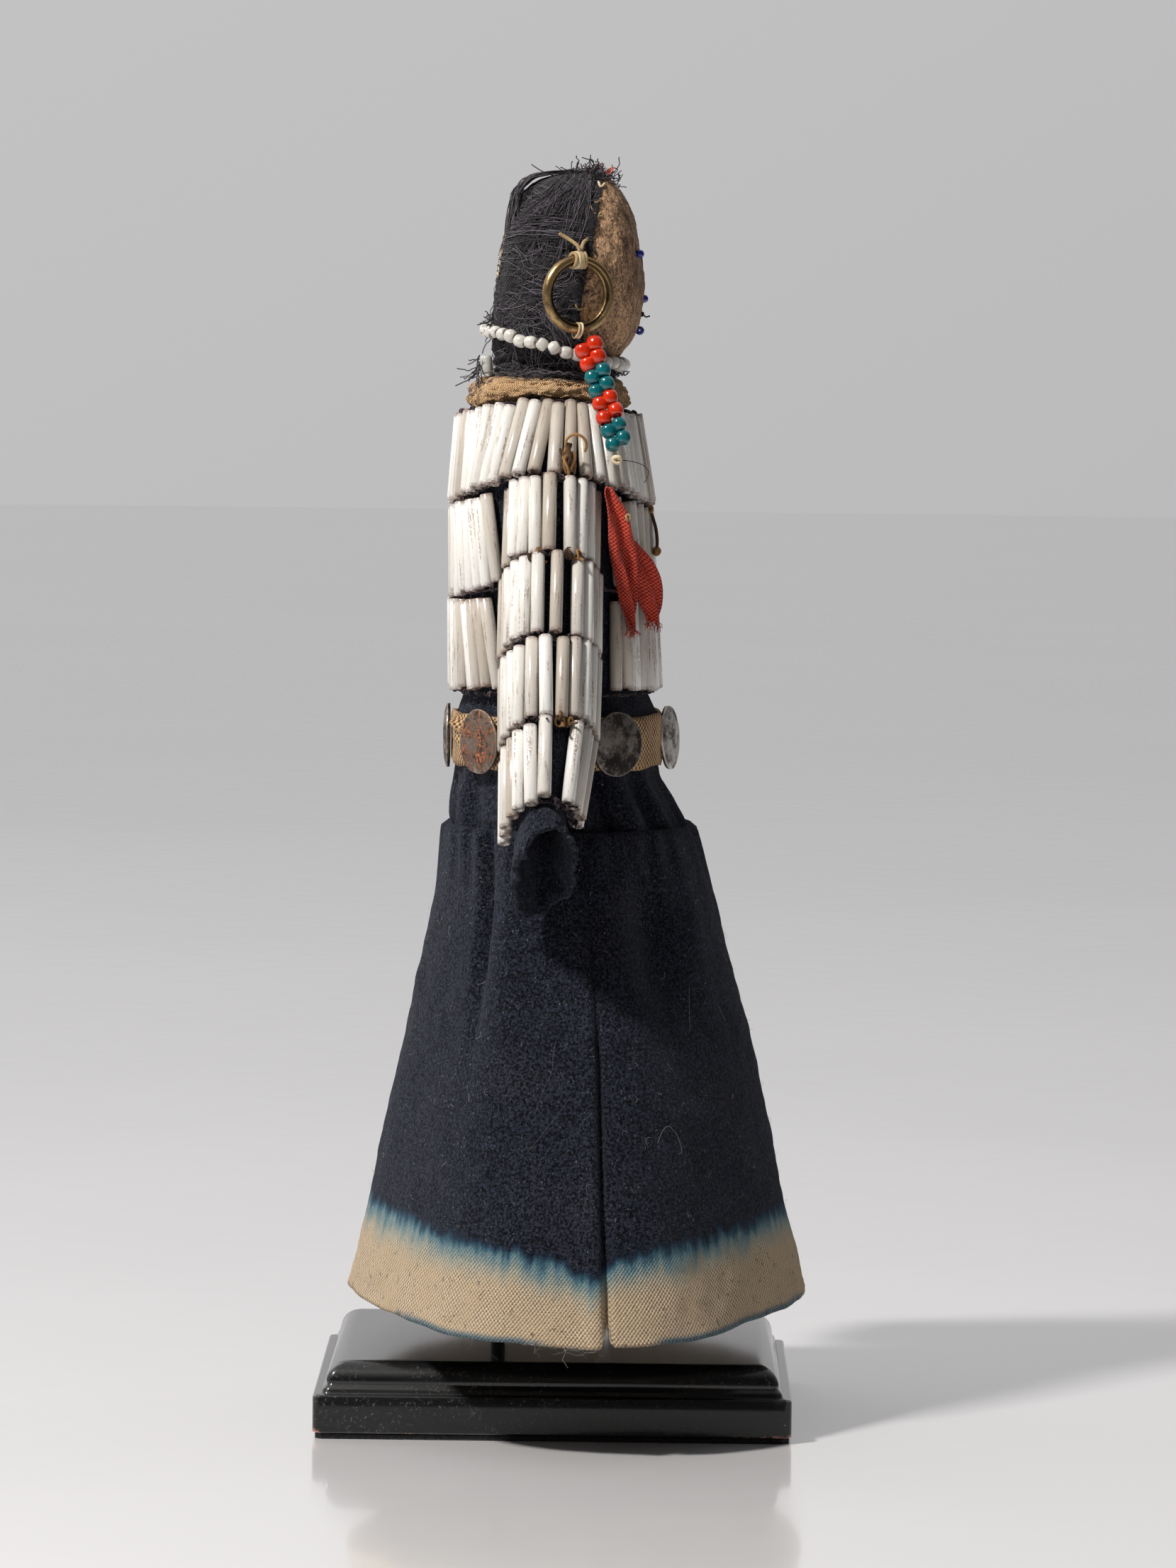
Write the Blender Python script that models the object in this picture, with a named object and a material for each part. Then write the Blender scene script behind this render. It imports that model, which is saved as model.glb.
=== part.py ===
# Doll in a dark wool dress hung with glass tubes, on a post and a low moulded stand.
# Metres, +Z up, floor at z = 0. The doll faces -Y and its right arm is on the -X side.

import math

import bmesh
import bpy
from mathutils import Vector

for old in list(bpy.data.objects):
    bpy.data.objects.remove(old, do_unlink=True)

# Space left between two pieces that touch.
GAP = 0.0003

# Flat sides that stand for a round one.
BODY_SIDES = 28
SKIRT_SIDES = 30
SLEEVE_SIDES = 16
HEAD_SIDES = 20

# Stand: a block with a small moulding, on a strip of felt.
STAND_LENGTH = 0.110
STAND_WIDTH = 0.104
STAND_HEIGHT = 0.0162
STAND_CORNER = 0.0015
FELT_THICKNESS = 0.0011
FELT_INSET = 0.0006
POST_RADIUS = 0.0017
POST_BEHIND = 0.0134
POST_SOCKET = 0.009

# Heights of the doll, each above the one before it.
HEM_CLEARANCE = 0.0132
HEM_SAG = 0.0049
SKIRT_HEIGHT = 0.1073
PEPLUM_HEIGHT = 0.015
BELT_HEIGHT = 0.0125
YOKE_ABOVE_BELT = 0.0052
TUBE_LENGTH = 0.021
ROW_GAP = 0.0005
SHOULDER_HEIGHT = 0.009
HEAD_HEIGHT = 0.0477

# Half sizes of the dress. Offsets are towards the back.
HEM_FRONT = 0.0589
HEM_REAR = 0.0477
HEM_SIDE = 0.082
SKIRT_TOP_FLARE = 0.003
PEPLUM_SIDE = 0.036
PEPLUM_DEPTH = 0.0269
PEPLUM_OFFSET = -0.0021
WAIST_SIDE = 0.0336
WAIST_DEPTH = 0.0232
WAIST_OFFSET = 0.001
CHEST_SIDE = 0.0321
CHEST_DEPTH = 0.0213
CHEST_OFFSET = 0.0016
SHOULDER_SIDE = 0.0309
SHOULDER_DEPTH = 0.0204
SHOULDER_OFFSET = 0.003
SHOULDER_RISE = 0.008
NECKLINE_SIDE = 0.0184
NECKLINE_DEPTH = 0.0181
NECKLINE_OFFSET = 0.0039
NECKLINE_RISE = 0.0032
CLOTH = 0.0017
SKIRT_CLOTH = 0.0022
SKIRT_TUCK = 0.006
SKIRT_LIP = 0.0014
SKIRT_FOLDS = 7
SKIRT_FOLD_DEPTH = 0.0018

# Sleeves: flat tubes of cloth that hang outwards from the shoulders.
SLEEVE_TILT = math.radians(25.0)
SLEEVE_ROOT_SIDE = 0.0215
SLEEVE_ROOT_RISE = 0.0026
SLEEVE_OFFSET = 0.0025
SLEEVE_OUT = 0.0124
SLEEVE_IN = 0.014
SLEEVE_HALF_DEPTH = 0.0079
SLEEVE_CROWN = 0.002
CUFF_OUT = 0.0173
CUFF_IN = 0.0176
CUFF_LENGTH = 0.0113
CUFF_SLANT = 0.21

# Glass tubes, laid side by side in rows.
TUBE_DIAMETER = 0.0034
SLEEVE_ROWS = 4
SLEEVE_ROW_PITCH = 0.0203
SLEEVE_ROW_GAP = 0.0006
SLEEVE_ROW_SPREADS = (84.0, 100.0, 114.0, 114.0)

# Belt of strap with six round discs.
BELT_THICKNESS = 0.0013
DISC_DIAMETER = 0.015
DISC_THICKNESS = 0.0008
DISC_DOME = 0.0011
DISC_ANGLES = {"1": -90.0, "2": -146.5, "3": 136.0, "4": 90.0, "5": 44.0, "6": -33.5}

# Ornaments of the head and neck.
NECKLACE_BEAD = 0.0029
NECKLACE_TILT = 0.004
FACE_BEAD = 0.002
EYE_SPACING = 0.011
RING_DIAMETER = 0.0182
RING_WIRE = 0.0024
RING_TURN = math.radians(27.0)
RING_CLEARANCE = 0.00337
RING_OFFSET = -0.0029
TIE_WIDTH = 0.0035
TIE_THICKNESS = 0.0008
LINK_WIRE = 0.0007
DROP_BEAD = 0.0037
DROP_PITCH = 0.0033
DROP_COUNT = 8
DROP_END_BEAD = 0.0026
NAPE_BEAD_LENGTH = 0.0042
NAPE_BEAD_DIAMETER = 0.0028
NAPE_BEAD_SIDE = -0.0066
RIBBON_WIDTH = 0.0066
RIBBON_THICKNESS = 0.0009

# Levels that follow from the heights.
stand_top = FELT_THICKNESS + STAND_HEIGHT
hem_level = stand_top + HEM_CLEARANCE
skirt_top = hem_level + SKIRT_HEIGHT
belt_bottom = skirt_top + PEPLUM_HEIGHT
belt_top = belt_bottom + BELT_HEIGHT
peplum_bend = skirt_top + 0.8 * PEPLUM_HEIGHT
row_pitch = TUBE_LENGTH + ROW_GAP
row_three = belt_top + YOKE_ABOVE_BELT
row_two = row_three + row_pitch
row_one = row_two + row_pitch
neckline = row_one + TUBE_LENGTH
torso_top = neckline + SHOULDER_HEIGHT
neck_bottom = torso_top + GAP
sleeve_straight = SLEEVE_ROWS * SLEEVE_ROW_PITCH
sleeve_length = sleeve_straight + CUFF_LENGTH


def make_material(name, colour, roughness, metallic=0.0):
    material = bpy.data.materials.new(name)
    material.use_nodes = True
    shader = material.node_tree.nodes["Principled BSDF"]
    shader.inputs["Base Color"].default_value = (*colour, 1.0)
    shader.inputs["Roughness"].default_value = roughness
    shader.inputs["Metallic"].default_value = metallic
    return material


def add_solid(name, points, faces, look, smooth=True):
    """One closed mesh object with its own material."""
    mesh = bpy.data.meshes.new(name)
    mesh.from_pydata([tuple(point) for point in points], [], faces)
    work = bmesh.new()
    work.from_mesh(mesh)
    bmesh.ops.recalc_face_normals(work, faces=work.faces)
    work.to_mesh(mesh)
    work.free()
    for polygon in mesh.polygons:
        polygon.use_smooth = smooth
    solid = bpy.data.objects.new(name, mesh)
    bpy.context.scene.collection.objects.link(solid)
    if look:
        mesh.materials.append(make_material(name, *look))
    return solid


def loft(rings, ends=True, loop=False):
    """Points and faces of a skin over closed rings; a loop joins the last ring to the first."""
    points = [point for ring in rings for point in ring]
    count = len(rings[0])
    faces = []
    pairs = len(rings) if loop else len(rings) - 1
    for row in range(pairs):
        low = row * count
        high = (row + 1) % len(rings) * count
        for i in range(count):
            j = (i + 1) % count
            faces.append((low + i, low + j, high + j, high + i))
    if ends and not loop:
        faces.append(tuple(range(count))[::-1])
        faces.append(tuple(range(len(points) - count, len(points))))
    return points, faces


def as_cutter(solid):
    solid.hide_render = True
    solid.display_type = "WIRE"
    return solid


def combine(solid, other, operation):
    boolean = solid.modifiers.new(operation.lower(), "BOOLEAN")
    boolean.operation = operation
    boolean.solver = "EXACT"
    boolean.object = other
    return solid


def mix(a, b, share):
    return a + (b - a) * share


def look_up(table, at):
    """Straight line between the entries of a table of (position, values...)."""
    for low, high in zip(table, table[1:]):
        if at <= high[0]:
            share = (at - low[0]) / (high[0] - low[0])
            return [mix(a, b, share) for a, b in zip(low[1:], high[1:])]
    return list(table[-1][1:])


def ring_of(side, depth, offset, level, rise=0.0, count=BODY_SIDES):
    """Oval ring round the body; rise lifts it at the sides."""
    ring = []
    for i in range(count):
        angle = math.tau * i / count
        height = level + rise * math.cos(angle) ** 2
        ring.append(Vector((side * math.cos(angle), offset + depth * math.sin(angle), height)))
    return ring


# Outer surface of the bodice: level, half width, half depth, offset, rise at the sides.
body = (
    (skirt_top - SKIRT_TUCK, PEPLUM_SIDE, PEPLUM_DEPTH, PEPLUM_OFFSET, 0.0),
    (skirt_top, PEPLUM_SIDE, PEPLUM_DEPTH, PEPLUM_OFFSET, 0.0),
    (peplum_bend, WAIST_SIDE, WAIST_DEPTH, WAIST_OFFSET, 0.0),
    (belt_top, WAIST_SIDE, WAIST_DEPTH, WAIST_OFFSET, 0.0),
    (row_three, CHEST_SIDE, CHEST_DEPTH, CHEST_OFFSET, 0.0),
    (row_one, SHOULDER_SIDE, SHOULDER_DEPTH, SHOULDER_OFFSET, SHOULDER_RISE),
    (neckline, NECKLINE_SIDE, NECKLINE_DEPTH, NECKLINE_OFFSET, NECKLINE_RISE),
)


def body_ring(level, out=0.0):
    side, depth, offset, rise = look_up(body, level)
    return ring_of(side + out, depth + out, offset, level, rise)


def body_point(level, angle, out=0.0):
    side, depth, offset, rise = look_up(body, level)
    height = level + rise * math.cos(angle) ** 2
    return Vector(((side + out) * math.cos(angle), offset + (depth + out) * math.sin(angle), height))


def tube_band(name, low, high, first, last, count, look, closed=False, thickness=TUBE_DIAMETER):
    """Row of tubes side by side. low and high give the inner line at an angle."""
    step = (last - first) / count
    valley = 0.42 * thickness
    centre = (low(first) + low(last) + low(mix(first, last, 0.5))) / 3.0
    if closed:
        centre = (low(0.0) + low(math.pi)) / 2.0

    def outward(angle):
        along = low(angle + 0.01) - low(angle - 0.01)
        normal = along.cross(high(angle) - low(angle)).normalized()
        away = low(angle) - centre
        return normal if normal.dot(away) > 0.0 else -normal

    points = []
    cells = count if closed else count + 1
    for i in range(cells):
        angle = first + step * i
        normal = outward(angle)
        points += [low(angle), high(angle)]
        points += [low(angle) + normal * valley, high(angle) + normal * valley]
        if closed or i < count:
            for share in (0.27, 0.73):
                crest = first + step * (i + share)
                normal = outward(crest)
                points += [low(crest) + normal * thickness, high(crest) + normal * thickness]
    faces = []
    for i in range(count):
        a = 8 * i
        b = 8 * ((i + 1) % cells)
        faces.append((a, b, b + 1, a + 1))
        faces.append((a + 2, a + 3, a + 5, a + 4))
        faces.append((a + 4, a + 5, a + 7, a + 6))
        faces.append((a + 6, a + 7, b + 3, b + 2))
        for end in (0, 1):
            faces.append((a + end, a + 2 + end, b + 2 + end, b + end))
            faces.append((a + 2 + end, a + 4 + end, a + 6 + end, b + 2 + end))
    if not closed:
        last_cell = 8 * count
        faces.append((0, 1, 3, 2))
        faces.append((last_cell, last_cell + 2, last_cell + 3, last_cell + 1))
    return add_solid(name, points, faces, look, smooth=False)


GLASS_TUBE = ((0.80, 0.78, 0.73), 0.25)
WOOL = ((0.012, 0.017, 0.032), 0.95)

# Stand, felt and post. Moulding: inset and height, as shares of the height of the stand.
stand_profile = (
    (0.0, 0.0),
    (0.0, 0.537),
    (0.037, 0.562),
    (0.099, 0.562),
    (0.136, 0.599),
    (0.185, 0.654),
    (0.204, 0.728),
    (0.228, 0.840),
    (0.302, 0.932),
    (0.395, 0.981),
    (0.469, 1.0),
)


def rounded_rectangle(half_x, half_y, radius, level):
    ring = []
    for quarter in range(4):
        sign_x = (1, -1, -1, 1)[quarter]
        sign_y = (1, 1, -1, -1)[quarter]
        for step in range(2):
            angle = math.pi / 2 * (quarter + step)
            x = sign_x * (half_x - radius) + radius * math.cos(angle)
            y = sign_y * (half_y - radius) + radius * math.sin(angle)
            ring.append(Vector((x, y, level)))
    return ring


stand_rings = []
for inset, height in stand_profile:
    level = FELT_THICKNESS + GAP + height * (STAND_HEIGHT - GAP)
    half_x = STAND_WIDTH / 2.0 - inset * STAND_HEIGHT
    half_y = STAND_LENGTH / 2.0 - inset * STAND_HEIGHT
    stand_rings.append(rounded_rectangle(half_x, half_y, STAND_CORNER, level))
base = add_solid("base", *loft(stand_rings), ((0.008, 0.008, 0.009), 0.22), smooth=False)
felt_x = STAND_WIDTH / 2.0 - FELT_INSET
felt_y = STAND_LENGTH / 2.0 - FELT_INSET
felt_rings = [rounded_rectangle(felt_x, felt_y, STAND_CORNER, z) for z in (0.0, FELT_THICKNESS)]
add_solid("base_felt", *loft(felt_rings), ((0.03, 0.03, 0.032), 0.95), smooth=False)


def upright(radius, low, high, x, y, count):
    rings = [ring_of(radius, radius, y, level, 0.0, count) for level in (low, high)]
    for ring in rings:
        for point in ring:
            point.x += x
    return loft(rings)


socket_floor = stand_top - POST_SOCKET
socket = upright(POST_RADIUS + GAP, socket_floor, stand_top + POST_SOCKET, 0.0, POST_BEHIND, 12)
socket = as_cutter(add_solid("post_socket", *socket, None))
combine(base, socket, "DIFFERENCE")
torso_bottom = mix(skirt_top, belt_bottom, 0.15)
post = upright(POST_RADIUS, socket_floor + GAP, torso_bottom - GAP, 0.0, POST_BEHIND, 12)
add_solid("post", *post, ((0.02, 0.02, 0.022), 0.4, 1.0))

# Muslin torso inside the dress, seen as a wrinkled roll above the neckline.
inner = CLOTH + GAP
torso_rings = []
hips = inner + GAP
for level, offset in ((torso_bottom, WAIST_OFFSET), (row_three, CHEST_OFFSET)):
    torso_rings.append(ring_of(CHEST_SIDE - hips, CHEST_DEPTH - hips, offset, level))
torso_rings.append(body_ring(row_one, -hips))
# Height above the neckline and swell, as shares of the height of the shoulders, and share of the rise.
collar = (
    (-0.11, -hips / SHOULDER_HEIGHT, 1.0),
    (0.09, -hips / SHOULDER_HEIGHT, 1.0),
    (0.31, 0.045, 0.5),
    (0.61, -0.033, 0.2),
    (0.87, -0.155, 0.0),
    (1.0, -0.467, 0.0),
)
for share, swell, rise in collar:
    out = swell * SHOULDER_HEIGHT
    level = mix(neckline, torso_top, share)
    rise *= NECKLINE_RISE
    torso_rings.append(ring_of(NECKLINE_SIDE + out, NECKLINE_DEPTH + out, NECKLINE_OFFSET, level, rise))
add_solid("muslin_torso", *loft(torso_rings), ((0.52, 0.33, 0.17), 0.9))

# Bodice: a sleeveless tube of wool from the neckline to inside the top of the skirt.
levels = [entry[0] for entry in body]
bodice_rings = [body_ring(level) for level in levels]
bodice_rings += [body_ring(level, -CLOTH) for level in levels[::-1]]
add_solid("bodice", *loft(bodice_rings, loop=True), WOOL)

# Skirt: fraction of the height from top to hem, and how much of the flare is reached there.
skirt_shape = (
    (0.0, 0.0, 0.0, 0.0),
    (0.1, 0.113, 0.025, 0.087),
    (0.29, 0.312, 0.174, 0.304),
    (0.447, 0.49, 0.338, 0.489),
    (0.61, 0.643, 0.537, 0.652),
    (0.8, 0.8, 0.735, 0.828),
    (1.0, 1.0, 1.0, 1.0),
)


def skirt_point(share, angle, out):
    """Point of the skirt at a fraction of its height below the top edge."""
    front_share, rear_share, side_share = look_up(skirt_shape, share)
    top_side = PEPLUM_SIDE + SKIRT_TOP_FLARE
    top_front = PEPLUM_DEPTH - PEPLUM_OFFSET + SKIRT_TOP_FLARE
    top_rear = PEPLUM_DEPTH + PEPLUM_OFFSET + SKIRT_TOP_FLARE
    front = mix(top_front, HEM_FRONT, front_share)
    rear = mix(top_rear, HEM_REAR, rear_share)
    side = mix(top_side, HEM_SIDE, side_share)
    centre = (rear - front) / 2.0
    depth = (rear + front) / 2.0
    wave = 0.65 * math.cos(SKIRT_FOLDS * angle + 0.6) + 0.35 * math.cos((SKIRT_FOLDS - 3) * angle - 1.0)
    grow = out + SKIRT_FOLD_DEPTH * min(1.0, 3.0 * share) * (1.0 - 0.3 * share) * wave
    level = mix(skirt_top, hem_level, share) - HEM_SAG * share * math.cos(angle) ** 2
    x = (side + grow) * math.cos(angle)
    y = centre + (depth + grow) * math.sin(angle)
    return Vector((x, y, level))


def skirt_ring(share, out):
    return [skirt_point(share, math.tau * i / SKIRT_SIDES, out) for i in range(SKIRT_SIDES)]


shares = [entry[0] for entry in skirt_shape]
lip_out = GAP - SKIRT_TOP_FLARE
lip_rings = [skirt_ring(0.0, 0.45 * lip_out), skirt_ring(0.0, lip_out)]
for ring, share in zip(lip_rings, (1.0, 0.57)):
    for point in ring:
        point.z += share * SKIRT_LIP
skirt_rings = lip_rings[::-1] + [skirt_ring(share, 0.0) for share in shares]
skirt_rings += [skirt_ring(share, -SKIRT_CLOTH) for share in shares[:0:-1]]
skirt_rings.append(skirt_ring(0.03, lip_out))
add_solid("skirt", *loft(skirt_rings, loop=True), WOOL)

# Belt strap and discs round the waist.
belt_in = GAP
belt_out = GAP + BELT_THICKNESS
belt_levels = (mix(skirt_top, belt_bottom, 0.99), belt_top - GAP)
belt_rings = [body_ring(level, belt_out) for level in belt_levels]
belt_rings += [body_ring(level, belt_in) for level in belt_levels[::-1]]
strap = ((0.38, 0.25, 0.11), 0.8)
add_solid("belt_strap", *loft(belt_rings, loop=True), strap)

belt_middle = (belt_bottom + belt_top) / 2.0
for label, degrees in DISC_ANGLES.items():
    angle = math.radians(degrees)
    spot = body_point(belt_middle, angle, belt_out + GAP)
    facing = Vector((math.cos(angle) / WAIST_SIDE, math.sin(angle) / WAIST_DEPTH, 0.0)).normalized()
    across = Vector((-facing.y, facing.x, 0.0))
    radius = DISC_DIAMETER / 2.0
    disc_rings = []
    for size, out in ((1.0, 0.0), (1.0, 0.5), (0.6, 1.1)):
        lift = DISC_THICKNESS * min(1.0, out * 2.0) + DISC_DOME * max(0.0, out - 0.5)
        ring = []
        for i in range(12):
            turn = math.tau * i / 12
            arm = across * math.cos(turn) + Vector((0.0, 0.0, 1.0)) * math.sin(turn)
            ring.append(spot + facing * lift + arm * radius * size)
        disc_rings.append(ring)
    rusty = label in ("3", "5")
    steel = ((0.30, 0.14, 0.07), 0.6, 0.6) if rusty else ((0.32, 0.31, 0.30), 0.35, 1.0)
    add_solid("belt_disc_" + label, *loft(disc_rings), steel)

# Sleeves, their rows of tubes, and the yoke that goes round the shoulders.
sleeve_half = SLEEVE_HALF_DEPTH + 2.0 * GAP + TUBE_DIAMETER
row_length = SLEEVE_ROW_PITCH - SLEEVE_ROW_GAP
sleeve_cap = -0.69 * SLEEVE_ROW_PITCH
sleeve_head = -0.2 * SLEEVE_ROW_PITCH
sleeve_shape = (
    (sleeve_cap, 0.25, 0.25, 0.5),
    (sleeve_head, 0.68, 0.64, 0.88),
    (SLEEVE_CROWN, 0.97, 0.85, 1.0),
    (sleeve_straight, 1.0, 1.0, 0.96),
)


def sleeve_point(side, angle, along, scale_out, scale_in, scale_depth, out=0.0, cuff=0.0):
    """Point on a sleeve: along is the distance down it, cuff 1 at the open end."""
    down = Vector((side * math.sin(SLEEVE_TILT), 0.0, -math.cos(SLEEVE_TILT)))
    outward = Vector((side * math.cos(SLEEVE_TILT), 0.0, math.sin(SLEEVE_TILT)))
    root = Vector((side * SLEEVE_ROOT_SIDE, SLEEVE_OFFSET, row_one + SLEEVE_ROOT_RISE))
    reach = mix(SLEEVE_OUT * scale_out, CUFF_OUT, cuff)
    if math.cos(angle) < 0.0:
        reach = mix(SLEEVE_IN * scale_in, CUFF_IN, cuff)
    u = (reach + out) * math.cos(angle)
    v = (SLEEVE_HALF_DEPTH * scale_depth + out) * math.sin(angle)
    slant = -CUFF_SLANT * u * cuff
    return root + outward * u + Vector((0.0, v, 0.0)) + down * (along + slant)


def sleeve_ring(side, along, out, cuff=0.0):
    scales = look_up(sleeve_shape, along)
    ring = []
    for i in range(SLEEVE_SIDES):
        angle = math.tau * i / SLEEVE_SIDES
        ring.append(sleeve_point(side, angle, along, *scales, out, cuff))
    return ring


# Room kept clear of the sleeves: the dress, the belt with its discs, and the upper skirt.
disc_room = belt_out + 3.0 * GAP + DISC_THICKNESS + DISC_DOME
skirt_room = SKIRT_FOLD_DEPTH + 2.0 * GAP
room_rings = []
for share in (0.29, 0.1, 0.0):
    side = skirt_point(share, 0.0, skirt_room).x
    front = -skirt_point(share, -math.pi / 2.0, skirt_room).y
    rear = skirt_point(share, math.pi / 2.0, skirt_room).y
    level = mix(skirt_top, hem_level, share)
    room_rings.append(ring_of(side, (front + rear) / 2.0, (rear - front) / 2.0, level))
room_rings.append(body_ring(mix(skirt_top, belt_bottom, 0.2), disc_room))
room_rings.append(body_ring(mix(belt_bottom, belt_top, -0.12), disc_room))
room_rings.append(body_ring(mix(belt_bottom, belt_top, 1.12), disc_room))
room_rings.append(body_ring(row_three, 2.0 * GAP))
room_rings.append(body_ring(row_two, GAP))
room_rings.append(body_ring(row_one, GAP))
room_rings.append(body_ring(neckline, GAP))
body_room = as_cutter(add_solid("body_room", *loft(room_rings), None))

side_names = {"right": -1.0, "left": 1.0}
sleeve_girth = SLEEVE_OUT + SLEEVE_HALF_DEPTH + TUBE_DIAMETER
for label, side in side_names.items():
    stations = (sleeve_cap, sleeve_head, SLEEVE_CROWN, 0.5 * sleeve_straight, sleeve_straight)
    rings = [sleeve_ring(side, along, 0.0) for along in stations]
    rings.append(sleeve_ring(side, sleeve_length, 0.0, 1.0))
    rings.append(sleeve_ring(side, sleeve_length, -CLOTH, 1.0))
    rings += [sleeve_ring(side, along, -CLOTH) for along in stations[:0:-1]]
    rings.append([mix(a, b, 0.5) for a, b in zip(rings[0], rings[-1])])
    sleeve = add_solid(label + "_sleeve", *loft(rings, loop=True), WOOL)
    combine(sleeve, body_room, "DIFFERENCE")
    for row in range(SLEEVE_ROWS):
        start = row * SLEEVE_ROW_PITCH
        stop = start + row_length

        def low(angle, stop=stop, side=side):
            return sleeve_point(side, angle, stop, *look_up(sleeve_shape, stop), 2.0 * GAP)

        def high(angle, start=start, side=side):
            scales = look_up(sleeve_shape, max(start, SLEEVE_CROWN))
            return sleeve_point(side, angle, start, *scales, 2.0 * GAP)

        name = label + "_sleeve_tubes_row_" + str(row + 1)
        spread = math.radians(SLEEVE_ROW_SPREADS[row])
        band_count = round(spread * sleeve_girth / TUBE_DIAMETER)
        band = tube_band(name, low, high, -spread, spread, band_count, GLASS_TUBE)
        if row < 3:
            combine(band, body_room, "DIFFERENCE")


def yoke_line(level):
    return lambda angle: body_point(level, angle, GAP)


def tubes_between(first, last, level):
    """How many tubes fit side by side round the body between two angles."""
    steps = 60
    length = 0.0
    for i in range(steps):
        a = body_point(level, mix(first, last, i / steps), TUBE_DIAMETER / 2.0)
        b = body_point(level, mix(first, last, (i + 1) / steps), TUBE_DIAMETER / 2.0)
        length += (b - a).length
    return max(3, round(length / TUBE_DIAMETER))


shoulder_tubes = tubes_between(0.0, math.tau, row_one)
low = yoke_line(row_one)
high = yoke_line(neckline)
row = tube_band("yoke_tubes_row_1", low, high, 0.0, math.tau, shoulder_tubes, GLASS_TUBE, True)
for label, side in side_names.items():
    room = TUBE_DIAMETER + 3.0 * GAP
    rings = [sleeve_ring(side, along, room) for along in (-2.0 * GAP, SLEEVE_CROWN, SLEEVE_ROW_PITCH)]
    sleeve_room = as_cutter(add_solid(label + "_sleeve_room", *loft(rings), None))
    combine(row, sleeve_room, "DIFFERENCE")

for number, level in (("2", row_two), ("3", row_three)):
    side, depth, offset, rise = look_up(body, level + TUBE_LENGTH / 2.0)
    end = sleeve_half + 3.0 * GAP
    front_end = math.asin((SLEEVE_OFFSET - end - offset) / depth)
    rear_end = math.asin((SLEEVE_OFFSET + end - offset) / depth)
    for place, first, last in (
        ("front", -math.pi - front_end, front_end),
        ("back", rear_end, math.pi - rear_end),
    ):
        count = tubes_between(first, last, level)
        top = level + TUBE_LENGTH
        low = yoke_line(level)
        high = yoke_line(top)
        tube_band("yoke_tubes_row_" + number + "_" + place, low, high, first, last, count, GLASS_TUBE)

# Head: share of the height, then reach to the front, to the back and half width as shares of it.
head_shape = (
    (0.0, 0.2306, 0.3417, 0.3145),
    (0.046, 0.2264, 0.3417, 0.3103),
    (0.092, 0.2642, 0.3480, 0.3270),
    (0.172, 0.3229, 0.3543, 0.3606),
    (0.298, 0.3585, 0.3522, 0.3899),
    (0.465, 0.3690, 0.3375, 0.3983),
    (0.633, 0.3543, 0.3082, 0.3816),
    (0.8, 0.3145, 0.2558, 0.3270),
    (0.906, 0.2579, 0.1887, 0.2474),
    (0.969, 0.2013, 0.0755, 0.1468),
    (1.0, 0.1593, -0.0755, 0.0503),
)


def head_sizes(share):
    """Reach to the front, reach to the back and half width at a share of the height."""
    return [HEAD_HEIGHT * size for size in look_up(head_shape, share)]


def head_ring(share):
    front, rear, side = head_sizes(share)
    level = neck_bottom + share * HEAD_HEIGHT
    return ring_of(side, (front + rear) / 2.0, (rear - front) / 2.0, level, 0.0, HEAD_SIDES)


# Seam of hide and cloth, seen from the side: height and distance to the front, as shares of the height.
seam = (
    (1.2, 0.1677),
    (0.98, 0.1677),
    (0.82, 0.1426),
    (0.65, 0.1174),
    (0.49, 0.0881),
    (0.29, 0.0587),
    (0.17, 0.0839),
    (0.1, 0.1677),
    (0.078, 0.2621),
    (0.072, 0.6289),
)


def seam_prism(name, back, shift):
    """Prism on one side of the seam, right through the head."""
    corners = [(shift - ahead * HEAD_HEIGHT, neck_bottom + share * HEAD_HEIGHT - shift) for share, ahead in seam]
    past = 0.84 * HEAD_HEIGHT
    under = neck_bottom - 0.2 * HEAD_HEIGHT
    if back:
        corners += [(corners[-1][0], under), (past, under), (past, corners[0][1])]
    else:
        corners += [(-past, corners[-1][1]), (-past, corners[0][1])]
    beyond = 0.63 * HEAD_HEIGHT
    rings = [[Vector((x, y, z)) for y, z in corners] for x in (-beyond, beyond)]
    return as_cutter(add_solid(name, *loft(rings), None))


shares_of_head = [entry[0] for entry in head_shape]
head_rings = [head_ring(share) for share in shares_of_head]
face = add_solid("hide_face", *loft(head_rings), ((0.34, 0.22, 0.13), 0.7))
combine(face, seam_prism("behind_seam", True, 0.0), "DIFFERENCE")
hood = add_solid("cloth_hood", *loft(head_rings), ((0.025, 0.024, 0.028), 0.95))
combine(hood, seam_prism("before_seam", False, GAP), "DIFFERENCE")


def ball(name, centre, radius, look, axis=Vector((0.0, 0.0, 1.0)), squash=1.0, count=6):
    """Small round bead about its axis."""
    across = axis.orthogonal().normalized()
    other = axis.cross(across).normalized()
    rings = []
    for step in (-62.0, 0.0, 62.0):
        tilt = math.radians(step)
        ring = []
        for i in range(count):
            turn = math.tau * i / count
            arm = across * math.cos(turn) + other * math.sin(turn)
            ring.append(centre + arm * radius * math.cos(tilt) + axis * radius * squash * math.sin(tilt))
        rings.append(ring)
    return add_solid(name, *loft(rings), look)


def on_face(share, x):
    """Spot on the hide at a share of the height, x to the side."""
    front, rear, side = head_sizes(share)
    depth = (front + rear) / 2.0
    y = (rear - front) / 2.0 - depth * math.sqrt(1.0 - (x / side) ** 2)
    return Vector((x, y, neck_bottom + share * HEAD_HEIGHT))


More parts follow.
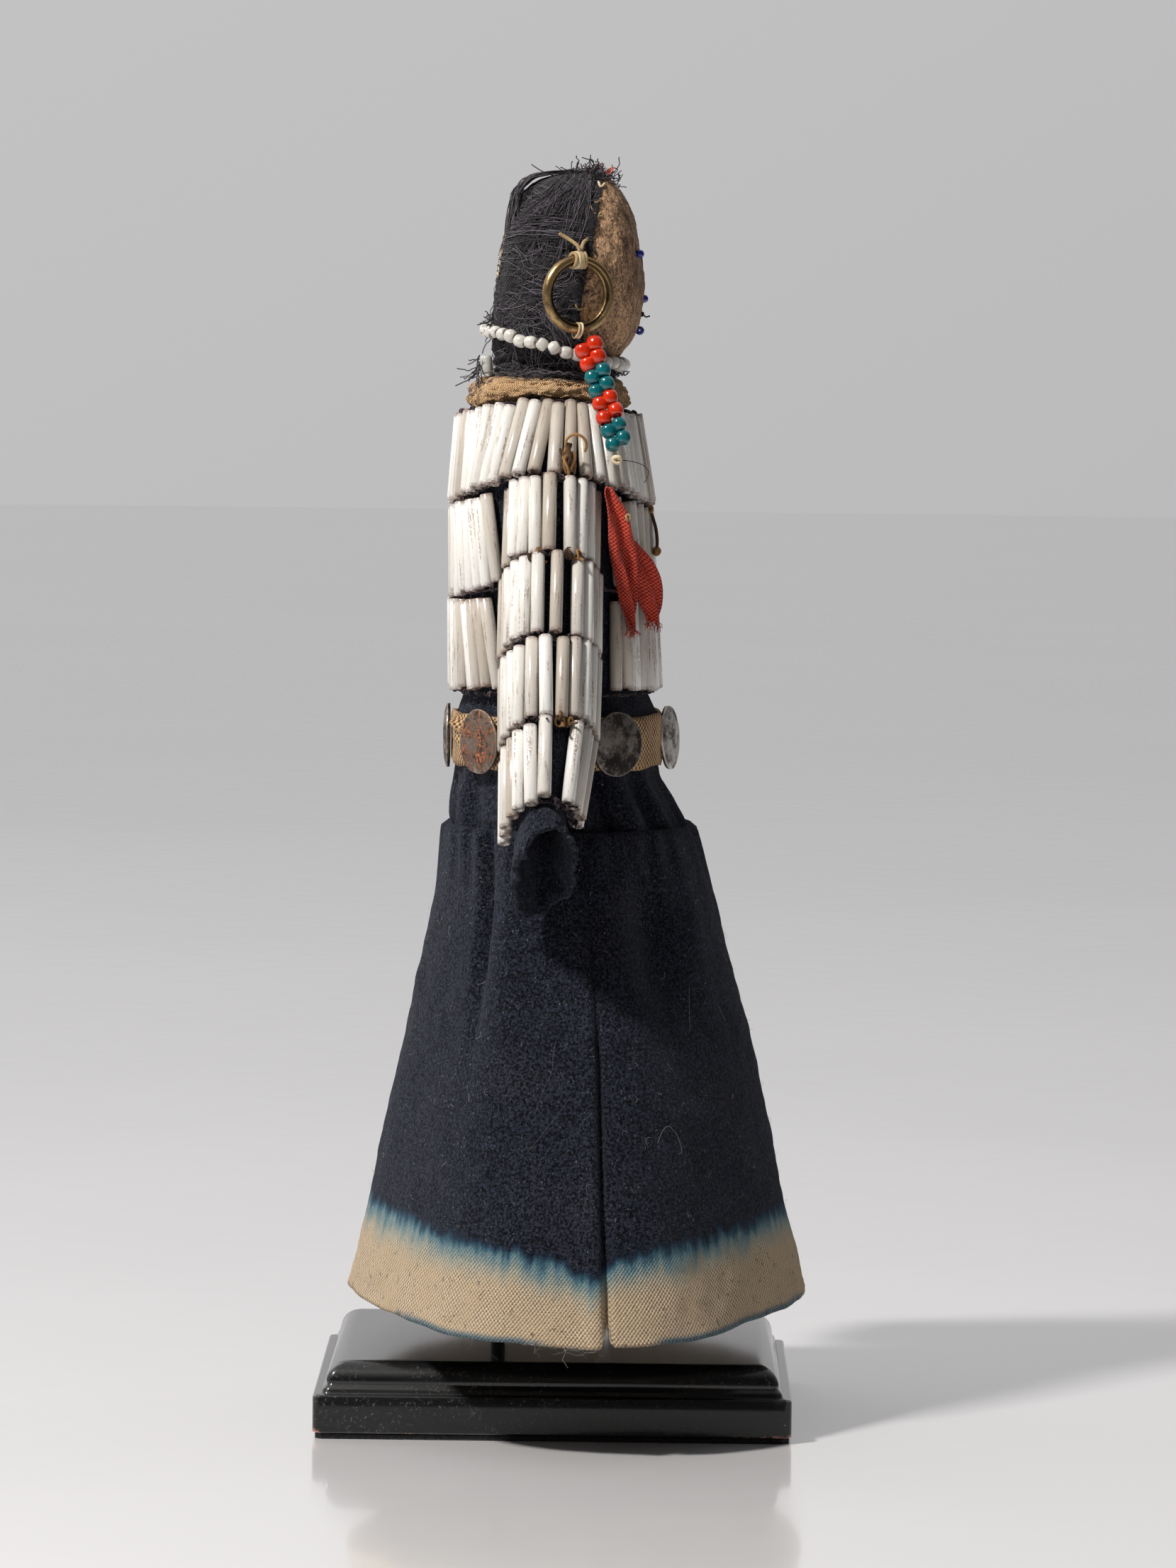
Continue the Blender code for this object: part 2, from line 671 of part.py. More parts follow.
blue = ((0.008, 0.02, 0.25), 0.15)
eye_share = 0.594
bead_out = Vector((0.0, -FACE_BEAD / 2.0 - 1.5 * GAP, 0.0))
for label, side in side_names.items():
    spot = on_face(eye_share, side * EYE_SPACING / 2.0) + bead_out + Vector((side * GAP, 0.0, 0.0))
    ball(label + "_eye_bead", spot, FACE_BEAD / 2.0, blue, Vector((1.0, 0.0, 0.0)), 0.8)
ball("nose_bead", on_face(0.375, 0.0) + bead_out, FACE_BEAD / 2.0, blue, Vector((1.0, 0.0, 0.0)), 0.8)
mouth = on_face(0.22, 0.0) + bead_out * 1.25
apart = Vector((0.42 * FACE_BEAD, 0.0, 0.0))
sideways = Vector((1.0, 0.0, 0.0))
mouth_beads = ball("mouth_beads", mouth - apart, FACE_BEAD / 2.0, blue, sideways)
mouth_other = ball("mouth_bead_other", mouth + apart, FACE_BEAD / 2.0, None, sideways)
combine(mouth_beads, as_cutter(mouth_other), "UNION")


def bead_string(path, radius, waist, count=6, loop=False):
    """Skin of a string of beads: path holds the joints and the middles in turn."""
    rings = []
    total = len(path)
    for i, point in enumerate(path):
        ahead = path[(i + 1) % total] if loop or i + 1 < total else point
        behind = path[i - 1] if loop or i > 0 else point
        along = (ahead - behind).normalized()
        across = along.cross(Vector((0.13, 0.21, 0.97))).normalized()
        other = along.cross(across).normalized()
        size = radius if i % 2 else waist
        ring = []
        for k in range(count):
            turn = math.tau * k / count
            ring.append(point + (across * math.cos(turn) + other * math.sin(turn)) * size)
        rings.append(ring)
    return loft(rings, ends=not loop, loop=loop)


# Necklace: close round the neck, higher at the back.
neck_side = head_sizes(0.14)[2] + 1.3 * GAP + NECKLACE_BEAD / 2.0
neck_rear = head_sizes(0.22)[1] + 1.2 * GAP + NECKLACE_BEAD / 2.0
neck_front = head_sizes(0.05)[0] + 3.5 * GAP + NECKLACE_BEAD / 2.0
neck_depth = (neck_rear + neck_front) / 2.0
neck_centre = (neck_rear - neck_front) / 2.0
neck_level = neck_bottom + 0.135 * HEAD_HEIGHT
bead_total = round(math.pi * (neck_side + neck_depth) / NECKLACE_BEAD)
necklace_path = []
for i in range(2 * bead_total):
    angle = math.pi * i / bead_total
    x = neck_side * math.cos(angle)
    y = neck_centre + neck_depth * math.sin(angle)
    necklace_path.append(Vector((x, y, neck_level + NECKLACE_TILT * math.sin(angle))))
string = bead_string(necklace_path, NECKLACE_BEAD / 2.0, 0.3 * NECKLACE_BEAD, 5, loop=True)
add_solid("necklace", *string, ((0.86, 0.85, 0.82), 0.3))

# Ear rings, each with a lashing, a link and a drop of paired beads.
brass = ((0.45, 0.27, 0.08), 0.3, 1.0)
sinew = ((0.66, 0.50, 0.30), 0.8)
red_glass = ((0.62, 0.05, 0.015), 0.15)
ring_share = 0.394
ring_side = head_sizes(ring_share)[2] + RING_CLEARANCE
for label, side in side_names.items():
    turn_axis = Vector((side * math.sin(RING_TURN), math.cos(RING_TURN), 0.0))
    middle = Vector((side * ring_side, RING_OFFSET, neck_bottom + ring_share * HEAD_HEIGHT))
    facing = Vector((side * math.cos(RING_TURN), -math.sin(RING_TURN), 0.0))
    up = Vector((0.0, 0.0, 1.0))
    arm_length = (RING_DIAMETER - RING_WIRE) / 2.0
    rings = []
    for i in range(20):
        angle = math.tau * i / 20
        arm = turn_axis * math.cos(angle) + up * math.sin(angle)
        ring = []
        for k in range(6):
            turn = math.tau * k / 6
            ring.append(middle + arm * (arm_length + RING_WIRE / 2.0 * math.cos(turn))
                        + facing * RING_WIRE / 2.0 * math.sin(turn))
        rings.append(ring)
    add_solid(label + "_ear_ring", *loft(rings, loop=True), brass)

    def wrap(start, stop, steps, inner_radius, outer_radius, centre, radius):
        """Short sleeve round the wire of the ear ring."""
        inside = []
        outside = []
        for i in range(steps + 1):
            angle = mix(start, stop, i / steps)
            arm = turn_axis * math.cos(angle) + up * math.sin(angle)
            for rings_of, size in ((inside, inner_radius), (outside, outer_radius)):
                ring = []
                for k in range(8):
                    turn = math.tau * k / 8
                    ring.append(centre + arm * (radius + size * math.cos(turn))
                                + facing * size * math.sin(turn))
                rings_of.append(ring)
        return loft(outside + inside[::-1], loop=True)

    half_wrap = TIE_WIDTH / 2.0 / arm_length
    bore = RING_WIRE / 2.0 + 1.5 * GAP
    top = math.pi / 2.0
    shell = wrap(top - half_wrap, top + half_wrap, 2, bore, bore + TIE_THICKNESS, middle, arm_length)
    add_solid(label + "_ring_lashing", *shell, sinew)

    link_radius = RING_WIRE / 2.0 + 2.0 * GAP + LINK_WIRE / 2.0
    link_centre = middle - up * (arm_length + 0.7 * GAP)
    rings = []
    for i in range(10):
        angle = math.tau * i / 10
        arm = facing * math.cos(angle) + up * math.sin(angle)
        ring = []
        for k in range(4):
            turn = math.tau * k / 4
            size = LINK_WIRE / 2.0
            ring.append(link_centre + arm * (link_radius + size * math.cos(turn))
                        + turn_axis * size * math.sin(turn))
        rings.append(ring)
    add_solid(label + "_drop_link", *loft(rings, loop=True), sinew)

    first = link_centre - up * link_radius + Vector((0.243 * side, -0.378, -0.7)) * DROP_BEAD
    slope = Vector((0.2 * side, -0.32, -1.0)).normalized()
    beside = Vector((-0.05 * side, -0.66, 0.44)) * DROP_BEAD
    columns = []
    for shift in (Vector((0.0, 0.0, 0.0)), beside):
        path = []
        for i in range(2 * DROP_COUNT + 1):
            path.append(first + shift + slope * (i - 1) * DROP_PITCH / 2.0)
        columns.append(bead_string(path, DROP_BEAD / 2.0, 0.36 * DROP_BEAD, 6))
    drop = add_solid(label + "_bead_drop", *columns[0], red_glass)
    other = as_cutter(add_solid(label + "_drop_other", *columns[1], None))
    combine(drop, other, "UNION")
    lowest = first + slope * ((DROP_COUNT - 0.5) * DROP_PITCH + DROP_END_BEAD / 2.0 + 2.0 * GAP)
    ball(label + "_drop_knot", lowest, DROP_END_BEAD / 2.0, sinew)

# Tube bead hanging at the nape.
nape_depth = NECKLINE_OFFSET + NECKLINE_DEPTH - 0.86 * NAPE_BEAD_LENGTH
nape_centre = Vector((NAPE_BEAD_SIDE, nape_depth, torso_top + 0.6 * NAPE_BEAD_LENGTH))
nape_rings = []
for level, size in ((0.5, 1.0), (-0.5, 1.0), (-0.5, 0.4), (0.5, 0.4)):
    ring = []
    for i in range(10):
        turn = math.tau * i / 10
        arm = Vector((math.cos(turn), math.sin(turn), 0.0)) * NAPE_BEAD_DIAMETER / 2.0 * size
        ring.append(nape_centre + arm + Vector((0.0, 0.0, level * NAPE_BEAD_LENGTH)))
    nape_rings.append(ring)
add_solid("nape_bead", *loft(nape_rings, loop=True), ((0.62, 0.62, 0.60), 0.25))

# Red ribbon knotted to the right breast: a flat strip that lies on the tubes.
ribbon_out = GAP + TUBE_DIAMETER + 4.0 * GAP
# Height above row two in rows, place round the body in degrees, share of the width and lift in thicknesses.
ribbon_line = (
    (1.095, -131.0, 0.5, 0.0),
    (0.905, -128.0, 0.9, 1.1),
    (0.535, -130.0, 1.0, 1.33),
    (0.186, -126.0, 1.0, 1.1),
    (-0.186, -123.0, 0.7, 0.67),
)
ribbon_rings = []
for rows_up, degrees, width, lift in ribbon_line:
    level = row_two + rows_up * row_pitch
    angle = math.radians(degrees)
    side, depth, offset, rise = look_up(body, level)
    half_angle = RIBBON_WIDTH * width / 2.0 / (0.5 * (side + depth) + ribbon_out)
    out = ribbon_out + lift * RIBBON_THICKNESS
    ends = (angle - half_angle, angle, angle + half_angle)
    inside = [body_point(level, at, out) for at in ends]
    outside = [body_point(level, at, out + RIBBON_THICKNESS) for at in ends]
    for point in inside + outside:
        point.z = level
    ribbon_rings.append(inside + outside[::-1])
add_solid("breast_ribbon", *loft(ribbon_rings), ((0.48, 0.02, 0.02), 0.6))
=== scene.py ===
import random
from math import asin, atan2, cos, exp, pi, radians, sin, sqrt, tan, tau

import bmesh
import bpy
import numpy as np
from mathutils import Matrix, Vector, noise


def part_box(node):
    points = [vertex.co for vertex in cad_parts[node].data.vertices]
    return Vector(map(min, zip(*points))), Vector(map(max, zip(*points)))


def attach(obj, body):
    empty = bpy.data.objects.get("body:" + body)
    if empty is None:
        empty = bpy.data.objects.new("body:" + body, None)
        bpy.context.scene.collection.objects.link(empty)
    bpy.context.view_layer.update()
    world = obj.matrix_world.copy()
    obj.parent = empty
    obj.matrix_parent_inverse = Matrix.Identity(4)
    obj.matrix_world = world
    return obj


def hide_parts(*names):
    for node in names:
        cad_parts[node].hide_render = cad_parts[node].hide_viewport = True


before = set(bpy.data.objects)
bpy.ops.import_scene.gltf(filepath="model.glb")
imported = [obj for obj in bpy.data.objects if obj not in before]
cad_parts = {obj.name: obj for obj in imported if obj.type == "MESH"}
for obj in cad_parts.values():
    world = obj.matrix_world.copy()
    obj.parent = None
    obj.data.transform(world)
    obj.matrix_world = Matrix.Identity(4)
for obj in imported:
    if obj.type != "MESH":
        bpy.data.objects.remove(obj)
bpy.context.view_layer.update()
mm = 0.001
upward = Vector((0.0, 0.0, 1.0))
sideNames = {"right": -1.0, "left": 1.0}

# ---- camera and light

shot = {"place": (-1.8263, -0.0159, 0.2675), "yaw": 0.30, "pitch": 3.747, "roll": 0.657, "lens": 179.02}


def aimCamera():
    yaw, pitch, roll = (radians(shot[key]) for key in ("yaw", "pitch", "roll"))
    ahead = Vector((cos(yaw) * cos(pitch), sin(yaw) * cos(pitch), -sin(pitch)))
    level = Vector((sin(yaw), -cos(yaw), 0.0))
    top = level.cross(ahead)
    right = level * cos(roll) + top * sin(roll)
    up = top * cos(roll) - level * sin(roll)
    lens = bpy.data.cameras.new("camera")
    lens.sensor_fit = "VERTICAL"
    lens.sensor_height = 36.0
    lens.lens = shot["lens"]
    lens.clip_start = 0.05
    camera = bpy.data.objects.new("camera", lens)
    turned = Matrix((right, up, -ahead)).transposed().to_4x4()
    camera.matrix_world = Matrix.Translation(shot["place"]) @ turned
    bpy.context.scene.collection.objects.link(camera)
    bpy.context.scene.camera = camera


lamps = {
    "key": {"place": (-0.72, 0.80, 1.42), "size": 0.16, "power": 30.0, "colour": (1.0, 0.97, 0.93)},
    "front": {"place": (-1.3, -1.0, 0.9), "size": 1.2, "power": 0.5, "colour": (0.93, 0.96, 1.0)},
    "rear": {"place": (1.1, 0.9, 1.0), "size": 1.2, "power": 4.0, "colour": (0.97, 0.98, 1.0)},
}


def hangLamps():
    for name, facts in lamps.items():
        lamp = bpy.data.lights.new(name, "AREA")
        lamp.size = facts["size"]
        lamp.energy = facts["power"]
        lamp.color = facts["colour"]
        holder = bpy.data.objects.new(name, lamp)
        holder.location = facts["place"]
        aim = Vector((0.0, 0.0, 0.14)) - holder.location
        holder.rotation_euler = aim.to_track_quat("-Z", "Y").to_euler()
        bpy.context.scene.collection.objects.link(holder)
    world = bpy.data.worlds.new("studio")
    world.use_nodes = True
    world.node_tree.nodes["Background"].inputs["Color"].default_value = (0.80, 0.79, 0.80, 1.0)
    # the sky is bright behind and above, and dim on the camera's side
    tree = Tree(world.node_tree)
    way = tree.add("ShaderNodeTexCoord", output="Generated")
    height = tree.add("ShaderNodeVectorMath", {"operation": "DOT_PRODUCT"}, (way, (0.70, 0.36, 0.61)), 1)
    share = tree.add("ShaderNodeMapRange", {"interpolation_type": "SMOOTHSTEP"}, (height, -0.20, 0.95, 0.03, 0.74))
    world.node_tree.links.new(share.socket, world.node_tree.nodes["Background"].inputs["Strength"])
    bpy.context.scene.world = world
    bpy.context.scene.view_settings.view_transform = "Standard"


# ---- shader and geometry trees


class Wire:
    # one output; the usual operators on it add Math nodes
    def __init__(self, tree, socket):
        self.tree = tree
        self.socket = socket

    def maths(self, operation, *values):
        return self.tree.add("ShaderNodeMath", {"operation": operation}, values)

    def __add__(self, other):
        return self.maths("ADD", self, other)

    def __sub__(self, other):
        return self.maths("SUBTRACT", self, other)

    def __rsub__(self, other):
        return self.maths("SUBTRACT", other, self)

    def __mul__(self, other):
        return self.maths("MULTIPLY", self, other)

    def __pow__(self, other):
        return self.maths("POWER", self, other)

    def __abs__(self):
        return self.maths("ABSOLUTE", self)

    def sine(self):
        return self.maths("SINE", self)

    __radd__ = __add__
    __rmul__ = __mul__


class Tree:
    def __init__(self, tree):
        self.tree = tree

    def add(self, kind, settings=None, inputs=(), output=0):
        node = self.tree.nodes.new(kind)
        for key, value in (settings or {}).items():
            if key == "stops":
                ramp = node.color_ramp.elements
                while len(ramp) < len(value):
                    ramp.new(0.5)
                for stop, (place, colour) in zip(ramp, value):
                    stop.position = place
                    stop.color = colour
            else:
                setattr(node, key, value)
        pairs = inputs.items() if isinstance(inputs, dict) else enumerate(inputs)
        for key, value in pairs:
            if isinstance(value, Wire):
                self.tree.links.new(value.socket, node.inputs[key])
            else:
                node.inputs[key].default_value = value
        return Wire(self, node.outputs[output])


aimCamera()
hangLamps()
print("camera and lamps set")


class Paint(Tree):
    # a material with the values that are the same all over it set on the shader itself
    def __init__(self, name, **values):
        self.material = bpy.data.materials.new(name)
        self.material.use_nodes = True
        super().__init__(self.material.node_tree)
        self.shader = self.tree.nodes["Principled BSDF"]
        for key, value in values.items():
            self.shader.inputs[key.replace("_", " ")].default_value = value
        self.place = self.add("ShaderNodeTexCoord", output="Object")
        self.coords = self.add("ShaderNodeUVMap", {"uv_map": "lay"})

    def wear(self, **wires):
        for key, wire in wires.items():
            self.tree.links.new(wire.socket, self.shader.inputs[key.replace("_", " ")])
        return self.material

    def grain(self, scale, detail=3.0, roughness=0.55, at=None, warp=0.0):
        values = {"Vector": at or self.place, "Scale": scale, "Detail": detail, "Roughness": roughness,
                  "Distortion": warp}
        return self.add("ShaderNodeTexNoise", inputs=values)

    def stretch(self, at, scale):
        return self.add("ShaderNodeMapping", inputs={"Vector": at, "Scale": scale})

    def part(self, wire, axis):
        return self.add("ShaderNodeSeparateXYZ", inputs=(wire,), output=axis)

    def own(self, name):
        return self.add("ShaderNodeAttribute", {"attribute_name": name}, output="Fac")

    def rise(self, value, low, high):
        return self.add("ShaderNodeMapRange", {"interpolation_type": "SMOOTHSTEP"}, (value, low, high, 0.0, 1.0))

    def blend(self, first, *coats):
        # coats: (colour, its share) laid one over the other; a colour is a wire or screen values, 0 to 255
        for second, share in coats:
            pair = [c if isinstance(c, Wire) else tone(*c) for c in (first, second)]
            first = self.add("ShaderNodeMix", {"data_type": "RGBA"}, {0: share, 6: pair[0], 7: pair[1]}, 2)
        return first

    def weave(self, pitch, stray=0.0):
        # plain weave on the flat cloth's own coordinates
        lines = [(self.part(self.coords, axis) * (tau / pitch) + stray).sine() for axis in (0, 1)]
        return lines[0] * lines[1] * 0.5 + 0.5

    def relief(self, height, distance, strength=1.0):
        return self.add("ShaderNodeBump", inputs={"Strength": strength, "Distance": distance, "Height": height})


def tone(red, green, blue):
    # screen colour, 0 to 255, as the shader's own
    return tuple(((c / 255.0 + 0.055) / 1.055) ** 2.4 if c > 10 else c / 3294.6 for c in (red, green, blue)) + (1.0,)


def geometryTree(name, sockets):
    group = bpy.data.node_groups.new(name, "GeometryNodeTree")
    group.interface.new_socket("Geometry", in_out="INPUT", socket_type="NodeSocketGeometry")
    group.interface.new_socket("Geometry", in_out="OUTPUT", socket_type="NodeSocketGeometry")
    for label, kind in sockets.items():
        group.interface.new_socket(label, in_out="INPUT", socket_type="NodeSocket" + kind)
    tree = Tree(group)
    start = group.nodes.new("NodeGroupInput")
    given = {item.name: Wire(tree, item) for item in start.outputs if item.name}
    return tree, given


def closeTree(tree, shape, surface):
    # every tree ends in real geometry with its material
    real = tree.add("GeometryNodeRealizeInstances", inputs={"Geometry": shape})
    real = tree.add("GeometryNodeSetShadeSmooth", inputs={"Geometry": real, "Shade Smooth": True})
    real = tree.add("GeometryNodeSetMaterial", inputs={"Geometry": real, "Material": surface})
    end = tree.tree.nodes.new("NodeGroupOutput")
    tree.tree.links.new(real.socket, end.inputs["Geometry"])
    return tree.tree


def makeStringTree():
    # a round thread along each line of the mesh, its own "width" times Thickness
    tree, given = geometryTree("strings", {"Thickness": "Float", "Sides": "Int", "Surface": "Material"})
    line = tree.add("GeometryNodeMeshToCurve", inputs={"Mesh": given["Geometry"]})
    width = tree.add("GeometryNodeInputNamedAttribute", {"data_type": "FLOAT"}, {"Name": "width"})
    line = tree.add("GeometryNodeSetCurveRadius", inputs={"Curve": line, "Radius": width})
    rim = tree.add("GeometryNodeCurvePrimitiveCircle",
                   inputs={"Resolution": given["Sides"], "Radius": given["Thickness"]})
    skin = tree.add("GeometryNodeCurveToMesh", inputs={"Curve": line, "Profile Curve": rim, "Fill Caps": True})
    return closeTree(tree, skin, given["Surface"])


def makeCopyTree():
    # the pattern at every point, turned by "turn" and sized by "size"
    tree, given = geometryTree("copies", {"Pattern": "Object", "Surface": "Material"})
    pattern = tree.add("GeometryNodeObjectInfo", inputs={"Object": given["Pattern"]}, output="Geometry")
    turn = tree.add("GeometryNodeInputNamedAttribute", {"data_type": "FLOAT_VECTOR"}, {"Name": "turn"})
    size = tree.add("GeometryNodeInputNamedAttribute", {"data_type": "FLOAT_VECTOR"}, {"Name": "size"})
    values = {"Points": given["Geometry"], "Instance": pattern, "Rotation": turn, "Scale": size}
    spread = tree.add("GeometryNodeInstanceOnPoints", inputs=values)
    return closeTree(tree, spread, given["Surface"])


stringTree = makeStringTree()
copyTree = makeCopyTree()


def addAttribute(mesh, name, values):
    values = np.asarray(values, np.float32)
    kind = "FLOAT_VECTOR" if values.ndim > 1 else "FLOAT"
    made = mesh.attributes.new(name, kind, "POINT")
    made.data.foreach_set("vector" if values.ndim > 1 else "value", values.ravel())


def runTree(tree, name, points, edges, attributes, inputs):
    mesh = bpy.data.meshes.new(name)
    mesh.from_pydata([tuple(point) for point in points], edges, [])
    for key, values in attributes.items():
        addAttribute(mesh, key, values)
    carrier = bpy.data.objects.new(name + "_lines", mesh)
    bpy.context.scene.collection.objects.link(carrier)
    modifier = carrier.modifiers.new("tree", "NODES")
    modifier.node_group = tree
    for item in tree.interface.items_tree:
        if item.item_type == "SOCKET" and item.in_out == "INPUT" and item.name in inputs:
            modifier[item.identifier] = inputs[item.name]
    graph = bpy.context.evaluated_depsgraph_get()
    made = bpy.data.meshes.new_from_object(carrier.evaluated_get(graph))
    bpy.data.objects.remove(carrier, do_unlink=True)
    return showMesh(name, made)


def showMesh(name, mesh):
    piece = bpy.data.objects.new(name, mesh)
    bpy.context.scene.collection.objects.link(piece)
    return piece


def threads(name, paths, thickness, surface, sides, shades, node=None):
    # paths: lists of (point, width); shades: one for each path, or the dice that draw them
    if isinstance(shades, random.Random):
        shades = [shades.random() for path in paths]
    points, widths, tints, edges = [], [], [], []
    for path, shade in zip(paths, shades):
        first = len(points)
        points += [point for point, width in path]
        widths += [width for point, width in path]
        tints += [shade] * len(path)
        edges += [(i, i + 1) for i in range(first, len(points) - 1)]
    inputs = {"Thickness": thickness, "Sides": sides, "Surface": surface}
    return settle(runTree(stringTree, name, points, edges, {"width": widths, "shade": tints}, inputs), node)


def copies(name, pattern, places, surface, node):
    # places: (point, Euler turn, size, shade)
    points, turns, sizes, shades = zip(*places)
    attributes = {"turn": [tuple(turn) for turn in turns], "size": sizes, "shade": shades}
    made = runTree(copyTree, name, points, [], attributes, {"Pattern": pattern, "Surface": surface})
    bpy.data.objects.remove(pattern, do_unlink=True)
    return settle(made, node)


def settle(piece, node=None):
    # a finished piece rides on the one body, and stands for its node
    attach(piece, "root")
    if node:
        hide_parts(node)
    return piece


# ---- mesh helpers


def smoothLine(at, places, values):
    # a curve through the values, without the corners of straight lines
    places = np.asarray(places, float)
    values = np.asarray(values, float)
    slopes = np.gradient(values, places)
    at = np.clip(at, places[0], places[-1])
    low = np.clip(np.searchsorted(places, at, side="right") - 1, 0, len(places) - 2)
    span = places[low + 1] - places[low]
    t = (at - places[low]) / span
    start = values[low] * (2 * t**3 - 3 * t**2 + 1) + slopes[low] * span * (t**3 - 2 * t**2 + t)
    return start + values[low + 1] * (3 * t**2 - 2 * t**3) + slopes[low + 1] * span * (t**3 - t**2)


def bumpAt(value, middle, width):
    return np.exp(-((value - middle) / width) ** 2)


def apart(angle, middle):
    # signed distance between two angles
    return (angle - middle + pi) % tau - pi


def near(angle, degrees, width):
    return bumpAt(apart(angle, radians(degrees)), 0.0, width)


def within(value, low=0.0, high=1.0):
    return np.clip(value, low, high)


def around(count):
    return np.linspace(0.0, tau, count, endpoint=False)


def oval(angle, side, depth, offset, level, rise=0.0):
    # points of a level ring, which may rise towards the sides
    x, y = side * np.cos(angle), offset + depth * np.sin(angle)
    return np.stack(np.broadcast_arrays(x, y, level + rise * np.cos(angle) ** 2), -1)


def outward(points, middle):
    # level directions away from an upright line
    away = points - np.array((0.0, middle, 0.0))
    away[..., 2] = 0.0
    return away / np.linalg.norm(away, axis=-1, keepdims=True)


def rough(points, scale, seed=0.0, octaves=3):
    # soft noise between about -1 and 1 at each point; scale is the size of its lumps
    shift = Vector((seed, seed * 0.7, seed * 1.3))
    flat = points.reshape(-1, 3) / scale
    made = [noise.fractal(Vector(point) + shift, 1.0, 2.0, octaves) for point in flat]
    return np.array(made).reshape(points.shape[:-1])


def gridPiece(name, grid, surface, node=None, ends="joined", lay=None, attributes=None):
    # a skin over closed rings of points; the last ring is joined to the first, or both are closed or left open;
    # lay gives the flat cloth's girth, or the place of each column, and the height of each row
    rows, columns = grid.shape[:2]
    i, j = np.meshgrid(np.arange(rows if ends == "joined" else rows - 1), np.arange(columns), indexing="ij")
    i, j = i.ravel(), j.ravel()
    nextI, nextJ = (i + 1) % rows, (j + 1) % columns
    faces = np.stack([i * columns + j, i * columns + nextJ, nextI * columns + nextJ, nextI * columns + j], 1).tolist()
    sides = len(faces)
    if ends == "closed":
        faces.append(list(range(columns))[::-1])
        faces.append(list(range((rows - 1) * columns, rows * columns)))
    mesh = bpy.data.meshes.new(name)
    mesh.from_pydata(grid.reshape(-1, 3).tolist(), [], faces)
    if lay is not None:
        u = np.linspace(0.0, lay[0], columns + 1) if np.isscalar(lay[0]) else lay[0]
        v = np.append(lay[1], lay[1][0])
        corners = ((i, j), (i, j + 1), (i + 1, j + 1), (i + 1, j))
        whole = np.zeros((len(mesh.loops), 2), np.float32)
        whole[: 4 * sides] = np.stack([np.stack([u[b], v[a]], 1) for a, b in corners], 1).reshape(-1, 2)
        mesh.uv_layers.new(name="lay").data.foreach_set("uv", whole.ravel())
    for key, values in (attributes or {}).items():
        addAttribute(mesh, key, np.broadcast_to(values, (rows, columns)).ravel())
    work = bmesh.new()
    work.from_mesh(mesh)
    bmesh.ops.recalc_face_normals(work, faces=work.faces)
    if work.calc_volume(signed=True) < 0.0:
        bmesh.ops.reverse_faces(work, faces=work.faces)
    work.to_mesh(mesh)
    work.free()
    mesh.polygons.foreach_set("use_smooth", [True] * len(mesh.polygons))
    if surface:
        mesh.materials.append(surface)
    piece = showMesh(name, mesh)
    return settle(piece, node) if node else piece


def turnedPattern(name, profile, sides):
    # a closed profile of (radius, height) turned about Z, with "lay" running round and along it
    radius, height = np.array(profile).T
    grid = oval(around(sides), radius[:, None], radius[:, None], 0.0, height[:, None])
    return gridPiece(name, grid, None, lay=(1.0, (height - height.min()) / (height.max() - height.min())))


def turnOf(axis, facing=None):
    # Euler turn that lays Z along axis, and X as near to facing as it can
    z = Vector(axis).normalized()
    x = Vector(facing) if facing is not None else z.orthogonal()
    x = (x - z * x.dot(z)).normalized()
    return Matrix((x, z.cross(x), z)).transposed().to_euler()


# ---- finishes


